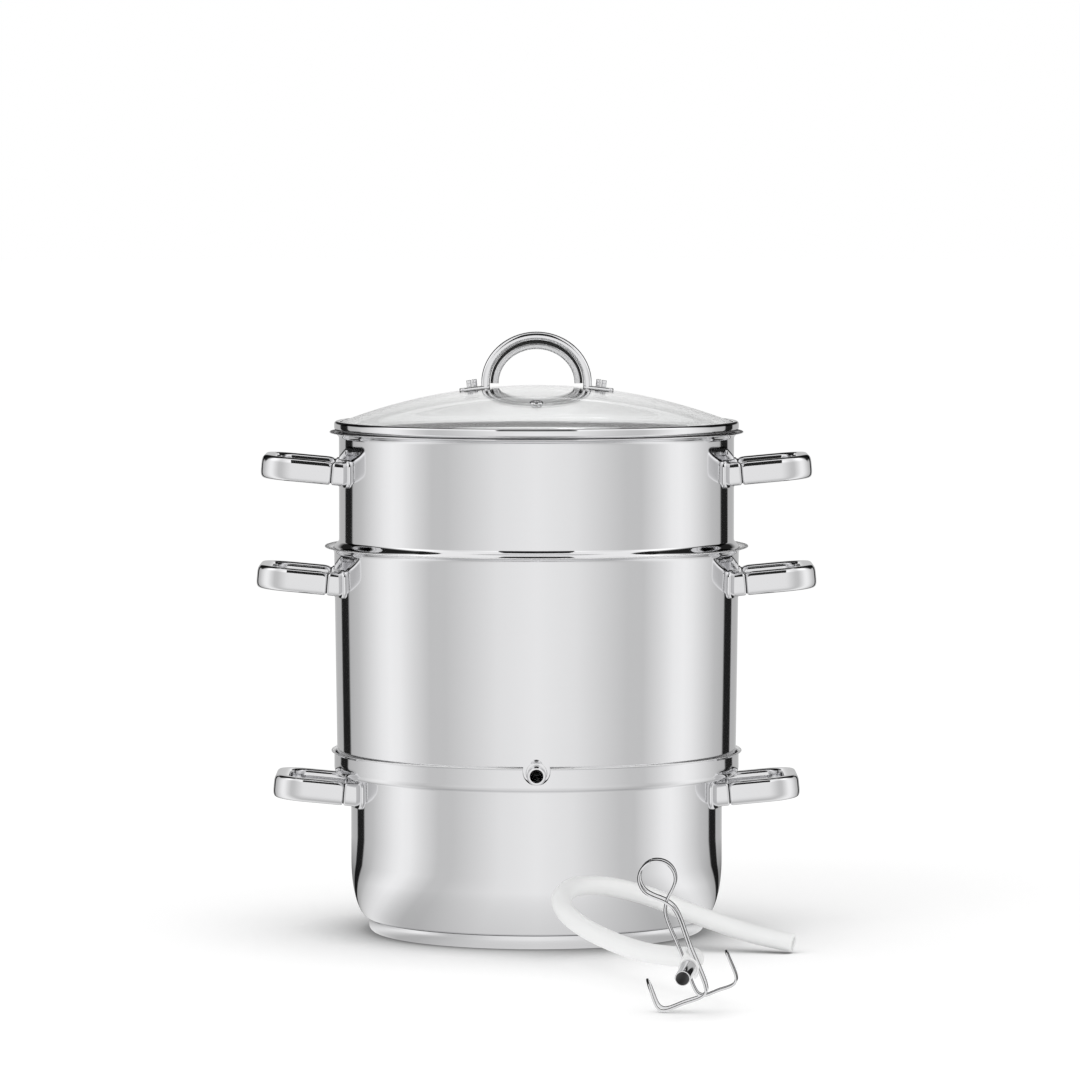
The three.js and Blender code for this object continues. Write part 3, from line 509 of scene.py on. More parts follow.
def plate_rings(flat, low, high, edge, half, steps):
    """The rings of a plate: from the middle of its upper face, at the flat shares, over a
    quarter circle at its edge, and back to the middle of its lower face. Returns each ring's
    share of the outline and its offset, as columns. half is half the plate's width."""
    turn = np.radians(np.linspace(90, 0, steps))
    share = [*flat, *(1 - edge * (1 - np.cos(turn)) / half), 1.0, 0.5, 0.0]
    offset = [*(high for _ in flat), *(high - edge * (1 - np.sin(turn))), low, low, low]
    return np.array(share)[:, None], np.array(offset)[:, None]


def lip(radius, top, out, rise, thickness):
    """The outward lip of a pot: a quarter of an ellipse from upright to level, then a flat
    edge, which ends where the half round of the sheet's edge begins."""
    under = top - thickness
    bend = arc((radius + out, under - rise), (out, rise), 180, 90, 10)
    return joined(bend, [(radius + out + LIP_EDGE - thickness / 2, under)])


# Materials

class Tree:
    """Short ways to put nodes into the tree of a material, a group or the world. A value is a
    socket to link, or a number, vector or colour to set."""

    def __init__(self, tree):
        self.nodes, self.links = tree.nodes, tree.links

    def put(self, entry, value):
        """Gives an input its value."""
        if isinstance(value, bpy.types.NodeSocket):
            self.links.new(value, entry)
        else:
            entry.default_value = value

    def add(self, kind, **inputs):
        """A node, with its inputs by name, where _ stands for a space."""
        node = self.nodes.new(kind)
        for label, value in inputs.items():
            self.put(node.inputs[label.replace("_", " ")], value)
        return node

    def filled(self, node, *values):
        """The output of a node whose first inputs take the values in their order."""
        for entry, value in zip(node.inputs, values):
            self.put(entry, value)
        return node.outputs[0]

    def maths(self, operation, *values, clamp=False):
        """A Math node's result."""
        node = self.nodes.new("ShaderNodeMath")
        node.operation = operation
        node.use_clamp = clamp
        return self.filled(node, *values)

    def emission(self, strength, colour=(1, 1, 1, 1)):
        """A shader that gives light."""
        return self.filled(self.nodes.new("ShaderNodeEmission"), colour, strength)

    def mixed_shader(self, share, first, second):
        """A shader that runs from the first to the second as the share runs from 0 to 1."""
        return self.filled(self.nodes.new("ShaderNodeMixShader"), share, first, second)

    def noise(self, vector, scale, detail=3.0, roughness=0.5):
        """A noise texture's value. A scale of three numbers stretches it along the axes."""
        if isinstance(scale, tuple):
            vector = self.add("ShaderNodeMapping", Vector=vector, Scale=scale).outputs["Vector"]
            scale = 1.0
        return self.add("ShaderNodeTexNoise", Vector=vector, Scale=scale, Detail=detail,
                        Roughness=roughness).outputs["Fac"]

    def between(self, value, low, high, start=0.0, end=1.0):
        """A value's range from start to end stretched to low to high, held at both."""
        return self.add("ShaderNodeMapRange", Value=value, From_Min=start, From_Max=end,
                        To_Min=low, To_Max=high).outputs["Result"]

    def mixed(self, share, first, second):
        """A value that runs from the first to the second as the share runs from 0 to 1."""
        node = self.nodes.new("ShaderNodeMix")
        for place, value in ((0, share), (2, first), (3, second)):
            self.put(node.inputs[place], value)
        return node.outputs[0]

    def from_axis(self, parts):
        """The distance from the Z axis: the root of x squared plus y squared."""
        square = self.maths("MULTIPLY", parts["X"], parts["X"])
        square = self.maths("MULTIPLY_ADD", parts["Y"], parts["Y"], square)
        return self.maths("SQRT", square)

    def tint(self, value, dark, light):
        """A colour that runs from dark to light with the value."""
        ramp = self.add("ShaderNodeValToRGB", Fac=value)
        for step, colour in zip(ramp.color_ramp.elements, (dark, light)):
            step.color = (*colour, 1)
        return ramp.outputs["Color"]

    def shaded(self, value, colour, dark, light):
        """A colour times a factor that runs from dark to light with the value, at most 1."""
        return self.tint(value, *([min(1.0, part * factor) for part in colour]
                                  for factor in (dark, light)))

    def bump(self, height, strength, distance):
        """The normal that a Bump node gives to a height."""
        return self.add("ShaderNodeBump", Height=height, Strength=strength,
                        Distance=distance).outputs["Normal"]

    def group(self, name, **inputs):
        """The outputs of a node group that is placed here with its own values."""
        node = self.nodes.new("ShaderNodeGroup")
        node.node_tree = bpy.data.node_groups[name]
        for label, value in inputs.items():
            self.put(node.inputs[label], value)
        return node.outputs

    def ray(self, label):
        """What the light path says of the ray."""
        return self.nodes.new("ShaderNodeLightPath").outputs[label]


def new_group(name, number, default, outputs):
    """An empty shader node group that takes a Vector and a number and puts out values."""
    group = bpy.data.node_groups.new(name, "ShaderNodeTree")
    sockets = group.interface
    sockets.new_socket(name="Vector", in_out="INPUT", socket_type="NodeSocketVector")
    made = sockets.new_socket(name=number, in_out="INPUT", socket_type="NodeSocketFloat")
    made.default_value = default
    for label in outputs:
        sockets.new_socket(name=label, in_out="OUTPUT", socket_type="NodeSocketFloat")
    tree = Tree(group)
    return tree, tree.nodes.new("NodeGroupInput").outputs, tree.nodes.new("NodeGroupOutput").inputs


def polishing_marks():
    """What a buffed face shows close up: a Haze mask of soft clouds and fine scratches that
    raises the roughness, and a Height of long faint waves left by the buffing wheel."""
    tree, given, result = new_group("Polishing Marks", "Scale", 1.0, ("Haze", "Height"))
    vector = tree.nodes.new("ShaderNodeVectorMath")
    vector.operation = "SCALE"
    tree.put(vector.inputs[0], given["Vector"])
    tree.put(vector.inputs["Scale"], given["Scale"])
    clouds = tree.noise(vector.outputs[0], 14.0, 4.0, 0.6)
    scratches = tree.noise(vector.outputs[0], (24.0, 24.0, 300.0), 2.0, 0.7)
    clouds = tree.maths("MULTIPLY", clouds, 0.7)
    tree.put(result["Haze"], tree.maths("MULTIPLY_ADD", scratches, 0.3, clouds, clamp=True))
    tree.put(result["Height"], tree.noise(vector.outputs[0], (16.0, 16.0, 42.0), 1.0, 0.4))


def brushed_lines():
    """Brushed steel's lines: they run round the Z axis on a wall, where the noise is stretched
    along them, and in rings on a floor, where it follows the distance from the axis. Flat is 1
    on a floor and 0 on a wall."""
    tree, given, result = new_group("Brushed Lines", "Flat", 0.0, ("Value",))
    fine = tree.noise(given["Vector"], (9.0, 9.0, 900.0), 5.0, 0.65)
    broad = tree.noise(given["Vector"], (5.0, 5.0, 120.0), 3.0, 0.6)
    wall = tree.maths("MULTIPLY_ADD", broad, 0.35, tree.maths("MULTIPLY", fine, 0.65))
    parts = tree.add("ShaderNodeSeparateXYZ", Vector=given["Vector"]).outputs
    across = tree.maths("MULTIPLY", tree.from_axis(parts), 1100.0)
    around = tree.maths("SINE", tree.maths("ARCTAN2", parts["Y"], parts["X"]))
    rings = tree.add("ShaderNodeCombineXYZ", X=across, Z=around).outputs[0]
    floor = tree.noise(rings, 1.0, 4.0, 0.65)
    tree.put(result["Value"], tree.mixed(given["Flat"], wall, floor))


def new_material(name, metallic=0.0):
    """A material, its tree, its Principled shader's inputs and the piece's own coordinates."""
    material = bpy.data.materials.new(name)
    material.use_nodes = True
    tree = Tree(material.node_tree)
    shader = tree.nodes["Principled BSDF"].inputs
    shader["Metallic"].default_value = metallic
    return material, tree, shader, tree.add("ShaderNodeTexCoord").outputs["Object"]


def polished_steel(name, roughness, colour, scale=1.0, waves=0.02):
    """Mirror polished steel: the marks' Haze shades the roughness and, a little, the colour, and
    their long waves make the reflections swim slightly."""
    material, tree, shader, where = new_material(name, 1.0)
    marks = tree.group("Polishing Marks", Vector=where, Scale=scale)
    tree.put(shader["Roughness"],
             tree.between(marks["Haze"], roughness * 0.7, roughness * 1.3, 0.3, 0.75))
    tree.put(shader["Base Color"], tree.shaded(marks["Haze"], colour, 1.01, 0.98))
    tree.put(shader["Normal"], tree.bump(marks["Height"], waves, 0.002))
    return material


def brushed_steel(name, roughness, colour, flat=0.0, depth=0.12):
    """Brushed steel: the lines shade the colour and the roughness and stand in the bump."""
    material, tree, shader, where = new_material(name, 1.0)
    lines = tree.group("Brushed Lines", Vector=where, Flat=flat)["Value"]
    tree.put(shader["Roughness"], tree.between(lines, roughness, roughness * 1.35, 0.3, 0.7))
    tree.put(shader["Base Color"],
             tree.shaded(tree.between(lines, 0.0, 1.0, 0.25, 0.75), colour, 0.86, 1.08))
    tree.put(shader["Normal"], tree.bump(lines, depth, 0.0006))
    return material


def glass_material(tint):
    """Clear glass, quite smooth but for a few dried spots so faint that they only show in the
    roughness."""
    material, tree, shader, where = new_material("clear_glass")
    shader["Base Color"].default_value = (*tint, 1)
    shader["Transmission Weight"].default_value = 1.0
    shader["IOR"].default_value = 1.5
    spots = tree.noise(where, 90.0, 4.0, 0.6)
    tree.put(shader["Roughness"], tree.between(spots, 0.0, 0.035, 0.70, 0.85))
    return material


def shadow_gap_material():
    """Painted shadow for the gaps in the handles' grooves and beside the lid's strap:
    matt black with grey dust in it.
    """
    material, tree, shader, where = new_material("painted_shadow_gap")
    dust = tree.noise(where, 400.0, 3.0, 0.6)
    tree.put(shader["Base Color"], tree.tint(dust, (0.008, 0.008, 0.008), (0.03, 0.03, 0.03)))
    tree.put(shader["Roughness"], tree.between(dust, 0.5, 0.8))
    return material


def silicone_material(colour):
    """Milky silicone: light goes in and scatters, faint draw lines run along the hose on its own
    UV map, and dust dulls it in patches."""
    material, tree, shader, where = new_material("white_silicone")
    drawn = tree.noise(tree.add("ShaderNodeUVMap").outputs["UV"], (22.0, 9.0, 1.0), 3.0, 0.5)
    dust = tree.noise(where, 60.0, 3.0, 0.6)
    tree.put(shader["Base Color"], tree.shaded(drawn, colour, 0.96, 1.02))
    tree.put(shader["Roughness"], tree.between(dust, 0.31, 0.42, 0.3, 0.7))
    shader["Transmission Weight"].default_value = 0.08
    shader["IOR"].default_value = 1.41
    shader["Subsurface Weight"].default_value = 0.3
    shader["Subsurface Radius"].default_value = (1.0, 1.0, 1.0)
    shader["Subsurface Scale"].default_value = 0.003
    return material


FINISHES = {}


def make_finishes(scene):
    """Makes every finish of the object."""
    steel, colour = scene.juicer_steel, tuple(scene.juicer_steel.colour)
    polishing_marks()
    brushed_lines()
    FINISHES.update(
        polished=polished_steel("polished_steel", steel.polish, colour),
        handle=polished_steel("handle_steel", steel.polish, colour, scale=1.5, waves=0.0),
        inside=brushed_steel("brushed_inside", steel.brush, tuple(steel.inside)),
        floor=brushed_steel("brushed_floor", steel.brush, tuple(steel.inside), flat=1.0),
        base=polished_steel("base_steel", steel.polish * 2.4, colour, scale=2.0, waves=0.01),
        satin=brushed_steel("satin_steel", steel.brush, colour, depth=0.05),
        wire=polished_steel("spring_wire", 0.08, (0.74, 0.74, 0.75), scale=6.0, waves=0.0),
        # painted shade: near-black steel for the inside of the nozzle, where shade falls
        bore=brushed_steel("bore_painted_shade", 0.5, (0.09, 0.09, 0.09), depth=0.05),
        core=brushed_steel("core_aluminium", 0.4, (0.78, 0.79, 0.79), depth=0.05),
        # painted shadow: a near-black finish where the gaps lie in shade
        seam=shadow_gap_material(),
        glass=glass_material(tuple(scene.juicer_lid.tint)),
        silicone=silicone_material(tuple(scene.juicer_hose.colour)),
    )


def finish(look):
    """The finish with this name. All of them are made when the first is asked for."""
    if not FINISHES:
        make_finishes(bpy.context.scene)
    return FINISHES[look]


# Stage

def aimed(thing, place, target):
    """Puts a camera or a lamp at a place, turned so that its -Z axis points at the target."""
    thing.location = place
    thing.rotation_euler = (Vector(target) - Vector(place)).to_track_quat("-Z", "Y").to_euler()
    bpy.context.scene.collection.objects.link(thing)


class JUICER_OT_camera(bpy.types.Operator):
    """Stand the camera in front of the object, a little above its middle"""

    bl_idname = "juicer.camera"
    bl_label = "Camera"

    def execute(self, context):
        stage = context.scene.juicer_stage
        data = bpy.data.cameras.new("camera")
        data.lens = stage.lens
        data.sensor_width = 36.0
        data.clip_end = 100.0
        camera = bpy.data.objects.new("camera", data)
        aimed(camera, (0.0, -stage.distance, stage.height), (0.00225, 0.0, 0.252))
        context.scene.camera = camera
        return {"FINISHED"}


def stage_material(name, shader):
    """A material whose surface is the shader that a function makes in its tree."""
    material = bpy.data.materials.new(name)
    material.use_nodes = True
    tree = Tree(material.node_tree)
    tree.nodes.remove(tree.nodes["Principled BSDF"])
    tree.put(tree.nodes["Material Output"].inputs["Surface"], shader(tree))
    return material


def stage_piece(name, corners, material, quads=((0, 1, 2, 3),)):
    """A mesh that belongs to the stage, one quad unless others are given."""
    mesh = bpy.data.meshes.new(name)
    mesh.from_pydata(corners, [], quads)
    mesh.materials.append(material)
    piece = bpy.data.objects.new(name, mesh)
    bpy.context.scene.collection.objects.link(piece)
    return piece


def only_reflected(thing):
    """The thing is seen in reflections and nowhere else, and casts no shadow."""
    thing.visible_camera = False
    thing.visible_diffuse = False
    thing.visible_transmission = False
    thing.visible_volume_scatter = False
    thing.visible_shadow = False


def card_band(name, radius, sides, ends, material):
    """A round card: a circle carried along the straight line between two ends."""
    points = swept(np.array(ends), circle(radius, sides))
    corners, quads, _ = grid(points, wrap_columns=True)
    only_reflected(stage_piece(name, corners.tolist(), material, quads.tolist()))


# Light of the studio's wall of cards, from the front (0) round to the rear (180 degrees)
WALL_LIGHT = (
    (0, 0.98), (20, 0.91), (40, 0.72), (48, 0.65), (57, 0.645), (67, 0.82), (77, 1.01),
    (84, 1.05), (91, 0.98), (104, 0.76), (113, 0.61), (124, 0.52), (125.5, 0.016),
    (137, 0.016), (138.5, 0.5), (150, 0.5), (163, 0.58), (175, 0.95),
)
WALL_RADIUS, WALL_TOP = 0.62, 1.0
RING_RADIUS, RING_ENDS = 0.08, ((0.09, -0.455, 0.035), (0.09, -0.355, 0.035))
NEAR = 0.17  # how close a reflection starts that sees the clamp's ring card, in metres


def white_in_glass(tree, strength):
    """A strength, raised to 1 for the rays that leave the quite smooth glass."""
    return tree.maths("MAXIMUM", strength, tree.ray("Is Singular Ray"))


def dark_light(tree):
    """Next to no light, so that the steel has dark outlines."""
    return tree.emission(white_in_glass(tree, 0.02))


def near_dark_light(tree):
    """Next to no light for a reflection from close by, while any other ray passes through."""
    near = tree.maths("LESS_THAN", tree.ray("Ray Length"), NEAR)
    clear = tree.nodes.new("ShaderNodeBsdfTransparent").outputs[0]
    return tree.mixed_shader(near, clear, tree.emission(0.015))


def light_round(tree):
    """The cards' light by the angle from the front, which is the arc tangent of x's size over
    -y, read off a ramp. Returns the light, the angle over 180 degrees, and the place's parts."""
    where = tree.add("ShaderNodeTexCoord").outputs["Object"]
    parts = tree.add("ShaderNodeSeparateXYZ", Vector=where).outputs
    angle = tree.maths("ARCTAN2", tree.maths("ABSOLUTE", parts["X"]),
                       tree.maths("MULTIPLY", parts["Y"], -1.0))
    angle = tree.maths("DIVIDE", angle, math.pi)
    ramp = tree.add("ShaderNodeValToRGB", Fac=angle)
    steps = ramp.color_ramp.elements
    for i, (degrees, light) in enumerate(WALL_LIGHT):
        step = steps[i] if i < 2 else steps.new(1.0)
        step.position = degrees / 180
        step.color = (light, light, light, 1)
    return ramp.outputs["Color"], angle, parts


def wall_light(tree):
    """The wall's light: towards its top the front grows brighter and the rear goes dark, which
    lights the handles and gives them dark outlines."""
    light, angle, parts = light_round(tree)
    front = tree.between(parts["Z"], 1.0, 1.35, 0.42, 0.56)
    lower = tree.maths("MULTIPLY", tree.between(angle, 0.0, 0.13, 0.54, 0.60),
                       tree.between(angle, 1.0, 0.0, 0.93, 0.97))
    height = tree.maths("ADD", parts["Z"], lower)
    rear = tree.between(height, 1.0, 0.03, 0.47, 0.53)
    strength = tree.mixed(tree.between(angle, 0.0, 1.0, 0.50, 0.60), front, rear)
    return tree.emission(white_in_glass(tree, strength), light)


def mirrored_floor(tree):
    """What the steel mirrors of the floor: the wall's light carried inwards, darker close to the
    pot and behind it."""
    light, angle, parts = light_round(tree)
    radius = tree.from_axis(parts)
    near = tree.between(radius, 0.8, 1.0, 0.11, 0.25)
    shade = tree.maths("MULTIPLY", tree.between(radius, 1.0, 0.0, 0.35, 0.6),
                       tree.between(angle, 0.0, 0.65, 0.60, 0.85))
    strength = tree.maths("MULTIPLY", near, tree.maths("SUBTRACT", 1.0, shade))
    return tree.emission(strength, light)


def floor_look(tree):
    """A pale floor, of which a part gives light, so that it stays white to its edge. The rest
    takes the object's shadow. Both fade where the object closes the floor in: an ambient
    occlusion node paints contact shade into the matt colour and dims the glow there."""
    open_sky = tree.add("ShaderNodeAmbientOcclusion", Distance=0.14).outputs["AO"]
    # painted contact shade: the matt colour and the glow darken with the ambient occlusion
    matt = tree.filled(tree.nodes.new("ShaderNodeBsdfDiffuse"),
                       tree.between(open_sky, 0.38, 0.9, 0.3, 0.68))
    light = tree.emission(tree.between(open_sky, 0.0, 0.215, 0.35, 0.95))
    both = tree.filled(tree.nodes.new("ShaderNodeAddShader"), matt, light)
    return tree.mixed_shader(tree.ray("Is Glossy Ray"), both, mirrored_floor(tree))


class JUICER_OT_stage(bpy.types.Operator):
    """Lay the pale floor, hang the studio's cards and set the light"""

    bl_idname = "juicer.stage"
    bl_label = "Stage"

    def execute(self, context):
        stage = context.scene.juicer_stage
        size = 30.0
        stage_piece("floor", [(-size, -size, 0), (size, -size, 0), (size, size, 0),
                              (-size, size, 0)], stage_material("floor_white", floor_look))
        self.cards(stage)
        self.lamp(stage)
        self.world(context.scene, stage)
        context.scene.view_settings.view_transform = "Standard"
        return {"FINISHED"}

    def cards(self, stage):
        """The round wall, a dark ring about the clamp, a dark card high in front and a dark roof
        over the rear half."""
        card_band("card_wall", WALL_RADIUS, stage.mirror_steps,
                  ((0.0, 0.0, 0.001), (0.0, 0.0, WALL_TOP)),
                  stage_material("card_light", wall_light))
        card_band("card_ring", RING_RADIUS, 48, RING_ENDS,
                  stage_material("card_near_dark", near_dark_light))
        dark = stage_material("card_dark", dark_light)
        for name, corners in (
                ("card_front", [(-0.21, -0.58, 0.46), (0.21, -0.58, 0.46), (0.16, -0.25, 0.95),
                                (-0.16, -0.25, 0.95)]),
                ("card_roof", [(-0.7, 0.05, WALL_TOP), (0.7, 0.05, WALL_TOP),
                               (0.7, 0.7, WALL_TOP), (-0.7, 0.7, WALL_TOP)])):
            only_reflected(stage_piece(name, corners, dark))

    def lamp(self, stage):
        """One broad soft lamp above the front left."""
        data = bpy.data.lights.new("key", "AREA")
        data.energy = stage.key
        data.size = 1.2
        lamp = bpy.data.objects.new("key", data)
        lamp.visible_glossy = False
        aimed(lamp, (-1.1, -1.6, 1.9), (0.0, 0.0, 0.2))

    def world(self, scene, stage):
        """White where the camera, a reflection or the glass looks, and an even ambient light
        for everything else."""
        scene.world = bpy.data.worlds.new("studio")
        scene.world.use_nodes = True
        tree = Tree(scene.world.node_tree)
        even = tree.filled(tree.nodes["Background"], (1, 1, 1, 1), stage.ambient)
        white = tree.filled(tree.nodes.new("ShaderNodeBackground"), (1, 1, 1, 1), 1.0)
        seen = tree.maths("MAXIMUM", tree.ray("Is Camera Ray"), tree.ray("Is Glossy Ray"))
        seen = tree.maths("MAXIMUM", seen, tree.ray("Is Transmission Ray"))
        tree.put(tree.nodes["World Output"].inputs["Surface"],
                 tree.mixed_shader(seen, even, white))


# Hose, nozzle and clamp

def in_clamp(points):
    """Points given along the clamp's own axes, from the place where it pinches the hose."""
    return CLAMP_PLACE + points @ CLAMP_AXES


def pinched(points):
    """The hose's points squeezed between the jaws: along the clamp's X they draw in, along its Z
    they spread, both fading with the distance along its Y as a cosine does."""
    flat, wide, jaw, fade, nearby = 0.35, 1.45, 2.2, 11.0, 22.0
    local = (points - CLAMP_PLACE) @ CLAMP_AXES.T
    near = np.clip(np.abs(local[..., 1]) - jaw, 0, fade) / fade
    near = 0.5 + 0.5 * np.cos(math.pi * near)
    near = np.where(np.linalg.norm(local, axis=-1) < nearby, near, 0)
    local[..., 0] *= 1 - (1 - flat) * near
    local[..., 2] *= 1 + (wide - 1) * near
    return in_clamp(local)


def around_and_along(points):
    """The UV places of a tube's quads: U runs from 0 to 1 and back round the tube, V runs from
    0 to 1 over its rows."""
    rows, columns = points.shape[:2]
    row, column = np.meshgrid(np.arange(rows), np.arange(columns), indexing="ij")
    across = np.stack([column, column + 1, column + 1, column], axis=-1) / columns
    down = np.stack([row, row, row + 1, row + 1], axis=-1) / rows
    return np.stack((np.abs(2 * across - 1), down), axis=-1)


class JUICER_OT_hose(bpy.types.Operator):
    """Lay the silicone hose with its bore, pinched where the clamp holds it"""

    bl_idname = "juicer.hose"
    bl_label = "Hose"

    def execute(self, context):
        sizes = context.scene.juicer_hose
        line = along(through(HOSE_ROUTE / MM, 40), 1.6)
        frames = carried_frames(line)
        radius, bore = sizes.diameter / MM / 2, sizes.bore / MM / 2
        rounding = (radius - bore) * 0.22
        outer, inner, outer_rim, inner_rim = (
            swept(line, circle(size, 40), frames)
            for size in (radius, bore, radius - rounding, bore + rounding))
        for end, inward in ((0, 1), (-1, -2)):
            outer[end] += rounding * unit(line[inward] - line[end])
            inner[end] += rounding * unit(line[inward] - line[end])
        points = np.concatenate((outer_rim[:1], outer, outer_rim[-1:], inner_rim[-1:],
                                 inner[::-1], inner_rim[:1]))
        hose = build("hose_tube", [grid(pinched(points), True, True)], "silicone",
                     "outlet_hose", "hose", 60.0, around_and_along(points))
        hose.visible_glossy = False
        return {"FINISHED"}


class JUICER_OT_nozzle(bpy.types.Operator):
    """Put the short steel tube in the hose's end"""

    bl_idname = "juicer.nozzle"
    bl_label = "Nozzle"

    def execute(self, context):
        radius, bore, sunk, start, length = 4.5, 3.9, 6.0, 13.8, 30.0
        outline = rounded([(bore, -sunk, 0.15), (radius, -sunk, 0.25), (radius, length, 0.3),
                           (bore, length, 0.25)], loop=True)
        # the bore's sides take the near-black finish, painted shade inside the tube
        in_bore = (outline[:, 0] < bore + 1e-6) & (np.roll(outline, -1, 0)[:, 0] < bore + 1e-6)
        patch = turned_part(
            outline, 64, lambda x, y, z: in_clamp(np.column_stack((x, -start - z, y))),
            numbers=in_bore.astype(int))
        nozzle = build("nozzle_tube", [patch], "handle bore", "outlet_hose", "hose_nozzle")
        nozzle.visible_glossy = False
        return {"FINISHED"}


def strand_points(side, arm, strand):
    """One strand of a clamp half, as (across, height, depth) in the clamp's own axes: from the
    ring's top along a part of its circle, down the jaw on the other side, out along the arm and
    up its fluke."""
    ring_radius, ring_height, jaw, low, bend = 10.6, 54.0, -side * 3.15, -20.0, 4.0
    top_strand, tip_strand, gap, wire = 3.2, 1.6, 0.3, 0.85
    neck, shoulder, end = 39.3, 33.0, side * arm
    share = np.arange(1, 8) / 7
    turn = np.radians(90 - (90 + 48) * share)
    ring = np.column_stack((side * ring_radius * np.cos(turn),
                            ring_height + ring_radius * np.sin(turn),
                            top_strand + (strand - top_strand) * share))
    top = ring_height + ring_radius
    return np.array([
        (side * gap / 2, top, top_strand), (side * (gap / 2 + wire), top, top_strand),
        *ring, (0, neck, strand), (jaw, shoulder, strand), (jaw, (neck + low) / 2, strand),
        (jaw, low + bend, strand), (jaw + side * bend / 3, low + bend / 3, strand),
        (jaw + side * bend, low, strand), ((jaw + end) / 2, low, strand),
        (end - side * bend, low, strand), (end - side * bend / 3, low + bend / 3, strand),
        (end, low + bend, strand), (end, -bend, (strand + tip_strand) / 2),
        (end, -tip_strand, tip_strand),
    ])


class JUICER_OT_clamp(bpy.types.Operator):
    """Bend the two wire halves of the spring clamp"""

    bl_idname = "juicer.clamp"
    bl_label = "Clamp"

    def execute(self, context):
        radius, taper = context.scene.juicer_clamp.wire / MM / 2, 0.55
        for name, side, arm, strand in (("left", -1, 27.6, 4.4), ("right", 1, 22.0, 2.0)):
            front = strand_points(side, arm, strand)
            wire = np.concatenate((front, [(side * arm, 0.0, 0.0)], front[::-1] * (1, 1, -1)))
            line = in_clamp(through(wire[:, [0, 2, 1]] * (1, -1, 1), 14))
            points = swept(line, circle(radius, 12))
            points[[0, -1]] = taper * points[[0, -1]] + (1 - taper) * line[[0, -1], None]
            piece = build(f"clamp_{name}_wire", [tube(points)], "wire", f"clamp_{name}",
                          f"clamp_wire_{name}")
            piece.visible_glossy = False
        return {"FINISHED"}


# Water pot

class JUICER_OT_water_pot(bpy.types.Operator):
    """Turn the water pot with its collar and lip, and cut the notch for the spigot"""

    bl_idname = "juicer.water_pot"
    bl_label = "Water Pot"

    def execute(self, context):
        sheet = context.scene.juicer_steel.thickness / MM
        step, bend, bend_height = COLLAR_STEP_HEIGHT, 11.5, 37.0
        line = joined(
            [(0, POT_FOOT), (60, POT_FOOT)],
            arc((POT_RADIUS - bend, POT_FOOT + bend_height), (bend, bend_height), -90, 0, 28),
            rounded([(POT_RADIUS, step - 12, 0), (POT_RADIUS, step, 1.6),
                     (COLLAR_RADIUS, step, 4.8), (COLLAR_RADIUS, step + 6.8, 0)], 8),
            lip(COLLAR_RADIUS, POT_RIM, 1.2, 1.4, sheet))
        outline, outer, _ = sheet_outline(line, sheet)
        numbers = np.where(np.arange(len(outline) - 1) < outer, 0, 1)
        numbers[-2:] = 2  # the floor's upper face
        pot = build("water_pot_shell", [turned(outline, numbers=numbers)],
                    "polished inside floor", "water_pot", "pot_shell")
        half, low, high = 8.65, 106.0, POT_RIM + 5
        shape = joined(arc((0, low + half), (half, half), 180, 360, 40),
                       [(half, high), (-half, high)])
        carve(pot, "notch", [tube(np.stack([np.insert(shape, 1, y, axis=1) for y in
                                            (-POT_RADIUS + 5, -COLLAR_RADIUS - 10)]))])
        return {"FINISHED"}


class JUICER_OT_base_plate(bpy.types.Operator):
    """Turn the base plate's steel cap, with the shallow rings of its underside"""

    bl_idname = "juicer.base_plate"
    bl_label = "Base Plate"

    def execute(self, context):
        sheet, radius, rim, underside = 0.8, 108.5, 8.7, 30
        line = rounded([(0, 0.5, 0), (22, 0.5, 0.6), (24, 0, 0.6), (40, 0, 0.6), (42, 0.45, 0.6),
                        (72, 0.45, 0.6), (74, 0, 0.6), (radius, 0, 4.0), (radius, rim - 0.4, 0)],
                       8)
        outline = sheet_outline(line, sheet)[0]
        # the first sides are the underside
        numbers = np.where(np.arange(len(outline) - 1) < underside, 1, 0)
        build("base_plate_cap", [turned(outline, numbers=numbers)], "base floor", "water_pot",
              "plate_cap")
        refinish("plate_core", "core")
        return {"FINISHED"}


# Side handles

def pad_patch(radius, slope, middle, end, sign):
    """A pad on a pot's wall. A point's place across the pad gives the angle round the pot, and
    its offset stands off the wall, whose radius changes by the slope with the height."""
    wide, tall, corner, low, high, edge = 26.0, 18.0, 5.0, 0.1, 1.8, 0.7
    outline = loop_along(rectangle(wide, tall, corner, 60), 0.9)
    share, offset = plate_rings((0.0, 0.35, 0.7), low, high, edge, wide / 2, 6)
    y = end + share * outline[:, 0]
    z = middle + share * outline[:, 1]
    x = np.sqrt(((radius + slope * (z - middle)) * ROUND + offset) ** 2 - y ** 2)
    return grid(np.stack((sign * x, sign * y, z), axis=-1), wrap_columns=True)


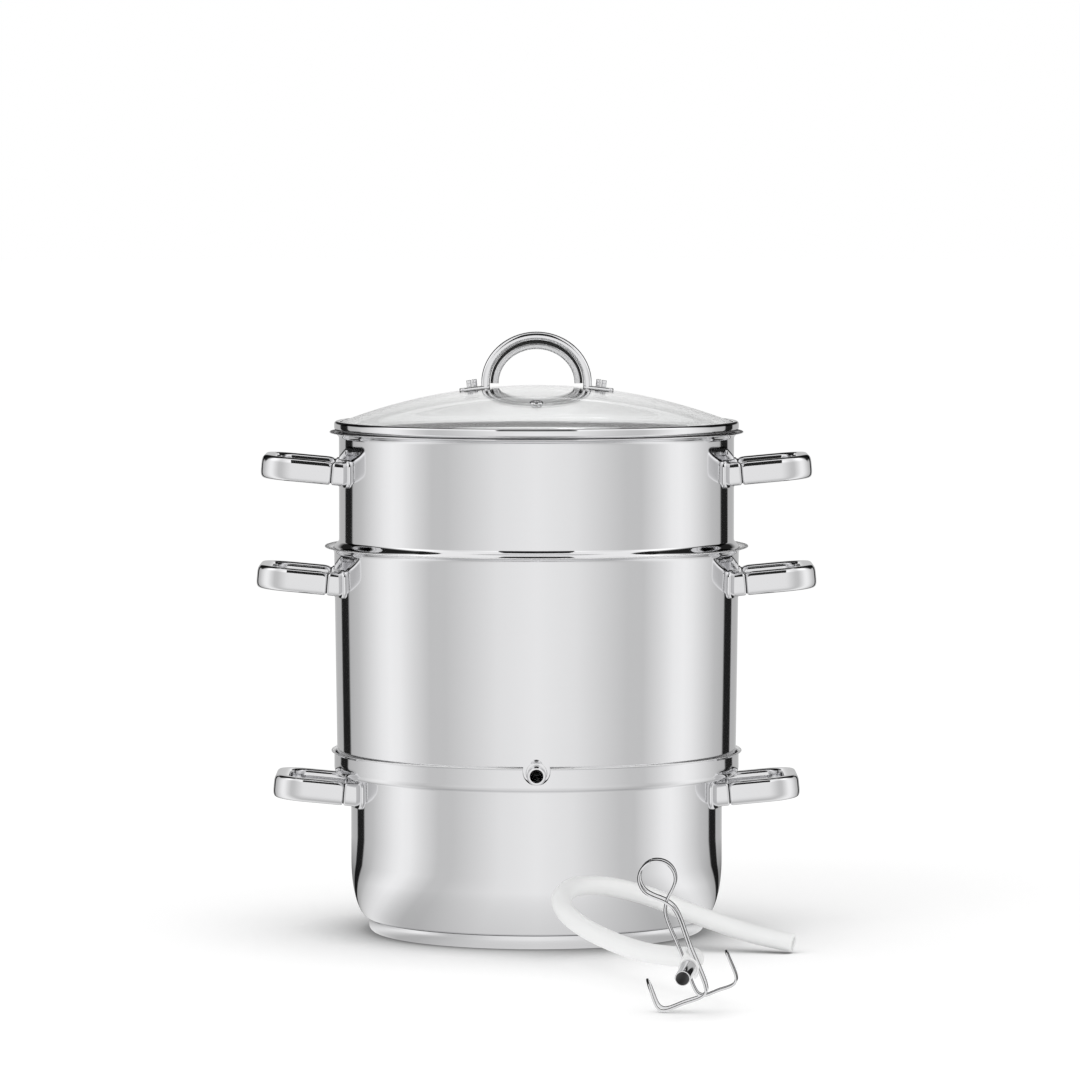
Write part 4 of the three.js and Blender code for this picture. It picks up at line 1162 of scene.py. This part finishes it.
def handle_bar(radius, middle, sizes, sign):
    """The bent bar of a side handle: a superellipse carried along a flat loop, tilted so that
    its outer end stands higher, with its end rings moved along X onto the pads. Near the pot a
    groove runs round each arm. Its sides are quarter ellipses, the outer one longer where the
    section is high, and its flat bottom and the start of that side take the near-black finish,
    which is painted shadow in the groove."""
    reach, half_span, bend, tilt, sunk = 49.5, PAD_PLACES[1], 15.0, math.radians(5.3), 6.0
    groove, groove_end, groove_side, depth, painted_shade_end = 3.4, 4.2, 1.2, 0.16, 4.5
    wide, tall = sizes.wide / MM, sizes.tall / MM
    bar = reach - wide / 2
    line = along(rounded([(-sunk, -half_span, 0), (bar, -half_span, bend),
                          (bar, half_span, bend), (-sunk, half_span, 0)], 400), 0.32)
    # every ring near the pot, where the groove is, and one of five further out
    line = line[(np.arange(len(line)) % 5 == 0) | (line[:, 0] < 12)]
    line = np.column_stack((line, np.zeros(len(line))))
    section = superellipse(wide, tall, sizes.squareness, 48)
    shoulder = 5.6 + 4.0 * np.clip(section[:, 1] / (tall / 2), 0, 1) ** 3
    rise = np.clip((line[:, :1] - groove_end) / (shoulder - groove_end), 0, 1)
    drop = np.clip((groove - line[:, :1]) / groove_side, 0, 1)
    full = np.sqrt(1 - (1 - np.maximum(rise, drop)) ** 2)
    section = section * (1 - depth * (1 - full))[..., None]
    x, y, z = np.moveaxis(swept(line, section, flat_frames(line, (0.0, 0.0, 1.0))), -1, 0)
    radius = radius * ROUND
    x, z = (x * math.cos(tilt) - z * math.sin(tilt) + radius,
            x * math.sin(tilt) + z * math.cos(tilt) + middle)
    # the end rings lie on the pad's face, and the rings that would lie in the pad are left out
    seat = np.sqrt((radius + 0.9) ** 2 - y ** 2)
    first, last = np.flatnonzero(x.mean(axis=1) > seat.mean(axis=1) + 0.6)[[0, -1]]
    ends = [np.stack((seat[i], y[i], z[i]), axis=-1)[None] for i in (first, last)]
    points = np.stack((x, y, z), axis=-1)[first:last + 1]
    points = np.concatenate((ends[0], points, ends[1])) * (sign, sign, 1)
    place = np.concatenate(([0, 0], line[first:last + 1, 0], [0, 0]))
    low, high = np.minimum(place[:-1], place[1:]), np.maximum(place[:-1], place[1:])
    # the quads from the groove's bottom to its end take the second finish: painted shadow
    return tube(points, ((low > groove - 1e-6) & (high < painted_shade_end)).astype(int))


class JUICER_OT_side_handles(bpy.types.Operator):
    """Bend the six loop handles and set their pads on the pots"""

    bl_idname = "juicer.side_handles"
    bl_label = "Side Handles"

    def execute(self, context):
        lean = (COLLECTOR_RADIUS - COLLECTOR_FOOT_RADIUS) / (COLLECTOR_TOP - COLLECTOR_BEND)
        height = COLLECTOR_RIM - 23
        wall = COLLECTOR_FOOT_RADIUS + lean * (height - COLLECTOR_BEND)
        for body, pot, middle, radius, slope in (
                ("water_pot", "pot", 91.0, POT_RADIUS, 0.0),
                ("juice_collector", "collector", height, wall, lean),
                ("fruit_basket", "basket", BASKET_RIM - 26, BASKET_UPPER_RADIUS, 0.0)):
            for name, sign in (("right", 1), ("left", -1)):
                bar = handle_bar(radius, middle, context.scene.juicer_handles, sign)
                pads = [pad_patch(radius, slope, middle, end, sign) for end in PAD_PLACES]
                # each handle's second finish is painted shadow, in its grooves
                build(f"{pot}_loop_{name}", [bar, *pads], "handle seam", body,
                      f"{pot}_handle_{name}")
        return {"FINISHED"}


# Juice collector

class JUICER_OT_collector(bpy.types.Operator):
    """Turn the juice collector, with the hole in its floor for the steam and the spigot's"""

    bl_idname = "juicer.collector"
    bl_label = "Juice Collector"

    def execute(self, context):
        sheet = context.scene.juicer_steel.thickness / MM
        foot = COLLECTOR_FOOT
        line = joined(
            [(37 + sheet / 2, foot)],
            rounded([(90, foot, 0), (COLLECTOR_FOOT_RADIUS, foot, 8.5),
                     (COLLECTOR_RADIUS, COLLECTOR_TOP, 0)], 14),
            lip(COLLECTOR_RADIUS, COLLECTOR_RIM, 5.4, 3.8, sheet))
        outline, outer, closed = sheet_outline(line, sheet)
        side = np.arange(len(outline))
        numbers = np.where(side < outer, 0, 1)
        numbers[(side < 2) | (side > len(outline) - 10)] = 2  # the floor, on both faces
        pot = build("collector_pot", [turned(outline, closed, numbers=numbers)],
                    "polished inside floor", "juice_collector", "collector_shell")
        carve(pot, "spigot_hole", [rod(5.35, (0, -110, SPIGOT_HEIGHT), (0, -140, SPIGOT_HEIGHT))])
        return {"FINISHED"}


class JUICER_OT_steam_cone(bpy.types.Operator):
    """Turn the cone that lets the steam up through the collector"""

    bl_idname = "juicer.steam_cone"
    bl_label = "Steam Cone"

    def execute(self, context):
        sheet = context.scene.juicer_steel.thickness / MM
        under = COLLECTOR_FOOT + 1.1
        line = rounded([(43.6, under, 0), (39.6, under, 1.6), (19.2, COLLECTOR_FOOT + 47.5, 0)],
                       8)
        outline, _, closed = sheet_outline(line, -sheet)
        build("steam_cone_shell", [turned(outline, closed)], "satin", "juice_collector",
              "steam_cone")
        return {"FINISHED"}


class JUICER_OT_spigot(bpy.types.Operator):
    """Turn the outlet spigot with its collar and its barb"""

    bl_idname = "juicer.spigot"
    bl_label = "Outlet Spigot"

    def execute(self, context):
        wall = 127.9
        bore, tube_radius, collar, barb = 4.2, 5.2, 6.7, 6.05
        outline = rounded([
            (bore, wall - 2.3, 0.2), (tube_radius, wall - 2.3, 0.3),
            (tube_radius, wall + 0.2, 0), (collar, wall + 0.2, 0.2), (collar, wall + 1.8, 0.6),
            (tube_radius, wall + 1.8, 0.3), (tube_radius, wall + 18.2, 0.3),
            (barb, wall + 20, 0.4), (tube_radius, wall + 22, 0.3), (bore, wall + 22, 0.2)],
            5, loop=True)
        patch = turned_part(outline, 64,
                            lambda x, y, z: np.column_stack((x, -z, SPIGOT_HEIGHT + y)))
        build("spigot_tube", [patch], "handle", "juice_collector", "outlet_spigot")
        return {"FINISHED"}


# Fruit basket

def sieve_wall(line, inner, hole):
    """The perforated band of the basket, on both faces. A place on it is a length along the
    outline and an angle round the pot. Each hole has a cell, from half way to its neighbours;
    rings of quads run from the hole's circle out to the cell's edge, and a short tube joins the
    holes of the two faces. Returns the patches and the band's two ends as lengths."""
    lengths = lengths_of(line)
    rows = np.interp(HOLE_ROWS, line[:, 1] - BASKET_FOOT, lengths)
    cuts = (rows[:-1] + rows[1:]) / 2
    low, high = rows[0] - (cuts[0] - rows[0]), rows[-1] + (rows[-1] - cuts[-1])
    edges = np.concatenate(([low], cuts, [high]))
    per_side = SIDES // COLUMNS
    side = np.linspace(-1, 1, per_side, endpoint=False)
    square = np.column_stack((side, np.full(per_side, -1.0)))
    square = np.concatenate((square, square[:, ::-1] * (-1, 1), -square,
                             square[:, ::-1] * (1, -1)))
    direction = unit(square)
    turn = 2 * math.pi * np.arange(COLUMNS) / COLUMNS
    share = np.array((0.0, 0.07, 0.3, 0.62, 1.0))[:, None]
    patches = []
    for row, bottom, top in zip(rows, edges[:-1], edges[1:]):
        radius = at_length(line, lengths, row)[0] * ROUND
        border_angle = square[:, 0] * math.pi / COLUMNS
        border_place = row + square[:, 1] * np.where(square[:, 1] < 0, row - bottom, top - row)
        hole_angle = direction[:, 0] * hole / radius
        hole_place = row + direction[:, 1] * hole
        angle = hole_angle + share * (border_angle - hole_angle)
        place = hole_place + share * (border_place - hole_place)
        around = angle[..., None] + turn
        faces = []
        for face in (line, inner):
            r, z = np.moveaxis(at_length(face, lengths, place)[..., None], -2, 0)
            faces.append(np.stack((ROUND * r * np.sin(around), -ROUND * r * np.cos(around),
                                   np.broadcast_to(z, around.shape)), axis=-1))
        for outside, inside in zip(*(np.moveaxis(face, 2, 0) for face in faces)):
            patches += [grid(outside, wrap_columns=True),
                        grid(inside, wrap_columns=True, numbers=1),
                        grid(np.stack((outside[0], inside[0])), wrap_columns=True)]
    return patches, low, high


def cut_line(line, lengths, start, end):
    """The stretch of a line between two lengths, with new end points."""
    inside = (lengths > start + 1e-9) & (lengths < end - 1e-9)
    ends = at_length(line, lengths, (start, end))
    return np.concatenate((ends[:1], line[inside], ends[1:]))


class JUICER_OT_basket(bpy.types.Operator):
    """Turn the fruit basket with its bead and lip, its sieve wall and its sieve floor"""

    bl_idname = "juicer.basket"
    bl_label = "Fruit Basket"

    def execute(self, context):
        sheet = context.scene.juicer_steel.thickness / MM
        hole = context.scene.juicer_basket.hole / MM / 2
        foot, draft, bulge, corner = BASKET_FOOT, 7.0, 1.7, 20.0
        low_radius, bead_foot = BASKET_WALL_RADIUS - draft, BEAD_CREST - BEAD_REACH
        share = np.linspace(0, 1, 25)
        wall = np.column_stack((low_radius + draft * share + bulge * np.sin(math.pi * share),
                                foot + corner + share * (bead_foot - corner)))
        swing = np.linspace(-1, 1, 25)
        base = np.where(swing < 0, BASKET_WALL_RADIUS, BASKET_UPPER_RADIUS)
        bead = np.column_stack((base + (BEAD_RADIUS - base) * np.cos(swing * math.pi / 2) ** 2,
                                foot + BEAD_CREST + swing * BEAD_REACH))
        line = joined(
            [(0, foot), (40, foot)],
            arc((low_radius - corner, foot + corner), (corner, corner), -90, 0, 24),
            wall, bead, lip(BASKET_UPPER_RADIUS, BASKET_RIM, 5.4, 3.8, sheet))
        inner = beside(line, sheet)
        lengths = lengths_of(line)
        patches, low, high = sieve_wall(line, inner, hole)
        below, below_in = (cut_line(face, lengths, 0, low) for face in (line, inner))
        above, above_in = (cut_line(face, lengths, high, lengths[-1]) for face in (line, inner))
        rim = half_round(line[-1], inner[-1], unit(line[-1] - line[-2]))
        # under the holes both faces, then above them the same, with the rim between
        for outline, number in ((below, 2), (below_in, 2), (above, 0),
                                (np.concatenate((above[-1:], rim, above_in[-1:])), 0),
                                (above_in[::-1], 1)):
            patches.append(turned(outline, numbers=number))
        pot = build("basket_pot", patches, "polished inside floor", "fruit_basket",
                    "basket_shell")
        apart = 28  # from one ring of floor holes to the next
        places = np.concatenate([[(0, 0)], *(circle(apart * ring, 6 * ring)
                                             for ring in (1, 2, 3))])
        carve(pot, "floor_holes", [rod(hole, (x, y, foot - 3), (x, y, foot + 3), 20)
                                   for x, y in places])
        return {"FINISHED"}


# Lid

def dome_height(distance, offset=0.0):
    """The height of the dome's upper face, moved out by the offset, at a distance from the
    axis: the circle's own equation."""
    return DOME_MIDDLE + np.sqrt((GLASS_CURVE + offset) ** 2 - distance ** 2)


def stand_on_dome(place):
    """A function that takes X, Y and the height above the glass, and stands the points square on
    the dome at a place."""
    distance, way = math.hypot(*place), math.atan2(place[1], place[0])
    lean = math.asin(distance / GLASS_CURVE)

    def stand(x, y, z):
        x, z = x * math.cos(lean) + z * math.sin(lean), -x * math.sin(lean) + z * math.cos(lean)
        x, y = x * math.cos(way) - y * math.sin(way), x * math.sin(way) + y * math.cos(way)
        return np.column_stack((x + place[0], y + place[1], z + dome_height(distance)))

    return stand


class JUICER_OT_lid_band(bpy.types.Operator):
    """Turn the lid's steel band with the skirt that drops into the basket"""

    bl_idname = "juicer.lid_band"
    bl_label = "Lid Band"

    def execute(self, context):
        sheet = context.scene.juicer_steel.thickness / MM
        foot, top, radius = LID_FOOT, LID_FOOT + 7.2, BAND_RADIUS
        line = rounded([
            (SKIRT_RADIUS, foot - SKIRT_DROP + sheet / 2, 0), (SKIRT_RADIUS, foot, 1.6),
            (radius, foot, 3.6), (radius, top, 1.7), (radius - 3.4, top, 0)], 10)
        outline, _, closed = sheet_outline(line, sheet)
        build("lid_rim_band", [turned(outline, closed)], "polished", "lid", "lid_band")
        return {"FINISHED"}


class JUICER_OT_lid_glass(bpy.types.Operator):
    """Turn the glass dome, with its rounded edge in the band and its holes"""

    bl_idname = "juicer.lid_glass"
    bl_label = "Glass Dome"

    def execute(self, context):
        thickness, seat = context.scene.juicer_lid.glass / MM, LID_FOOT + 1.1
        reach = np.linspace(0, GLASS_RADIUS, 49)
        over = np.column_stack((reach, dome_height(reach)))
        reach = np.linspace(SKIRT_RADIUS + 1, 0, 41)
        under = np.column_stack((reach, dome_height(reach, -thickness)))
        edge = rounded([(*over[-1], 0), (GLASS_RADIUS, seat, 1.2), (under[0, 0], seat, 1.0),
                        (*under[0], 0)], 6)
        glass = build("lid_dome", [turned(joined(over, edge, under))], "glass", "lid",
                      "lid_glass", sharp=50.0)
        holes = []
        for radius, place in [(1.25, place) for place in STUD_PLACES] + [(2.75, VENT_PLACE)]:
            corners, quads, marks = rod(radius, (0, 0, -10), (0, 0, 6), 24)
            holes.append((stand_on_dome(place)(*corners.T), quads, marks))
        carve(glass, "glass_holes", holes, sharp=50.0)
        return {"FINISHED"}


class JUICER_OT_lid_vent(bpy.types.Operator):
    """Turn the steam vent's eyelet"""

    bl_idname = "juicer.lid_vent"
    bl_label = "Lid Vent"

    def execute(self, context):
        bore, barrel, flange, under = 1.5, 2.6, 4.4, -4.3
        outline = rounded([
            (bore, under - 0.9, 0.5), (flange - 1, under - 0.9, 0.4), (flange - 1, under, 0.2),
            (barrel, under, 0), (barrel, 0.1, 0), (flange, 0.1, 0.3), (flange - 0.5, 1.3, 0.5),
            (bore, 1.3, 0.6)], 6, loop=True)
        build("vent_eyelet", [turned_part(outline, 48, stand_on_dome(VENT_PLACE))], "handle",
              "lid", "lid_vent")
        return {"FINISHED"}


def arch_line(inset, leg):
    """The arch over the lid, moved inwards by the inset: half of an ellipse from foot to foot,
    with straight legs below it."""
    half_width, middle = ARCH_HALF_WIDTH - inset, DOME_TOP + ARCH_LIFT
    line = joined([(-half_width, middle - leg)],
                  arc((0, middle), (half_width, ARCH_RISE - inset), 180, 0, 1500),
                  [(half_width, middle - leg)])
    return np.insert(along(line, 1.0), 1, 0.0, axis=1)


def foot_patch(side):
    """A foot of the arch: a plate that follows the dome between two heights above it."""
    inner, outer, wide, low, high, edge = (
        ARCH_HALF_WIDTH - 5.4, ARCH_HALF_WIDTH + 14, 17.9, 0.1, 1.6, 0.35)
    outline = loop_along(
        rounded([(inner, -wide / 2, 0.6), (outer, -wide / 2, 3.2), (outer, wide / 2, 3.2),
                 (inner, wide / 2, 0.6)], 60, loop=True), 0.8)
    share, offset = plate_rings((0.0, 0.5), low, high, edge, 6.0, 5)
    middle = (inner + outer) / 2
    x, y = middle + share * (outline[:, 0] - middle), share * outline[:, 1]
    z = dome_height(np.hypot(x, y), offset)
    return grid(np.stack((side * x, y, z), axis=-1), wrap_columns=True)


class JUICER_OT_lid_handle(bpy.types.Operator):
    """Bend the arched strap with its feet on the dome, and the strip inside it"""

    bl_idname = "juicer.lid_handle"
    bl_label = "Lid Handle"

    def execute(self, context):
        leg = DOME_TOP + ARCH_LIFT - float(dome_height(ARCH_HALF_WIDTH, 1.0)) + 0.2
        way = (0.0, 1.0, 0.0)
        line = arch_line(STRAP / 2, leg)
        strap = tube(swept(line, rectangle(STRAP, 18.0, 2.3), flat_frames(line, way)))
        build("lid_strap", [strap, foot_patch(-1), foot_patch(1)], "handle", "lid",
              "lid_handle_strap")
        line = arch_line(STRAP + 0.3 + 5.3 / 2, 0)
        strip = rectangle(3.9, 15.0, 1.2) - (0.65, 0)
        # the second section is a near-black strip next to the strap: painted shadow of the gap
        seam = rectangle(1.3, 13.6, 0.3) + (1.95, 0)
        build("lid_strap_strip", [tube(swept(line, section, flat_frames(line, way)), number)
                                  for number, section in enumerate((strip, seam))],
              "satin seam", "lid", "lid_handle_liner")
        return {"FINISHED"}


class JUICER_OT_studs(bpy.types.Operator):
    """Turn the four studs that hold the strap's feet"""

    bl_idname = "juicer.studs"
    bl_label = "Studs"

    def execute(self, context):
        names = ["lid_left_stud_1", "lid_left_stud_2", "lid_right_stud_1", "lid_right_stud_2"]
        over, under = 1.7, -5.8
        outline = rounded([
            (0, under - 0.85, 0), (2.15, under - 0.85, 0.4), (2.15, under, 0.1), (1.1, under, 0),
            (1.1, over, 0), (1.6, over, 0.2), (1.6, over + 2.0, 0.1), (1.35, over + 2.15, 0.1),
            (1.6, over + 2.3, 0.1), (1.6, over + 4.3, 0.5), (0, over + 4.3, 0)], 5)
        for name, place in zip(names, STUD_PLACES):
            patch = turned_part(outline, 40, stand_on_dome(place), closed=False)
            build(f"{name}_turned", [patch], "handle", "lid", name)
        for side in ("left", "right"):
            refinish(f"lid_backing_{side}", "satin")
        return {"FINISHED"}


class JUICER_PT_panel(bpy.types.Panel):
    """Lists the pieces of the steam juicer and their settings."""

    bl_idname = "JUICER_PT_panel"
    bl_label = "Steam Juicer"
    bl_space_type = "VIEW_3D"
    bl_region_type = "UI"
    bl_category = "Juicer"

    def draw(self, context):
        for group in GROUPS:
            box = self.layout.box()
            settings = getattr(context.scene, group)
            for name in settings.__annotations__:
                box.prop(settings, name)
        for operator in OPERATORS:
            self.layout.operator(operator.bl_idname)


OPERATORS = (
    JUICER_OT_camera, JUICER_OT_nozzle, JUICER_OT_clamp, JUICER_OT_hose, JUICER_OT_water_pot,
    JUICER_OT_base_plate, JUICER_OT_collector, JUICER_OT_steam_cone, JUICER_OT_spigot,
    JUICER_OT_basket, JUICER_OT_side_handles, JUICER_OT_lid_band, JUICER_OT_lid_glass,
    JUICER_OT_lid_vent, JUICER_OT_lid_handle, JUICER_OT_studs, JUICER_OT_stage,
)
CLASSES = (*GROUPS.values(), *OPERATORS, JUICER_PT_panel)


def register():
    for each in CLASSES:
        bpy.utils.register_class(each)
    for name, group in GROUPS.items():
        setattr(bpy.types.Scene, name, PointerProperty(type=group))


def unregister():
    for name in GROUPS:
        delattr(bpy.types.Scene, name)
    for each in reversed(CLASSES):
        bpy.utils.unregister_class(each)


def main():
    """Registers the add-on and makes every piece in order."""
    register()
    for operator in OPERATORS:
        family, name = operator.bl_idname.split(".")
        getattr(getattr(bpy.ops, family), name)()


if __name__ == "__main__":
    main()
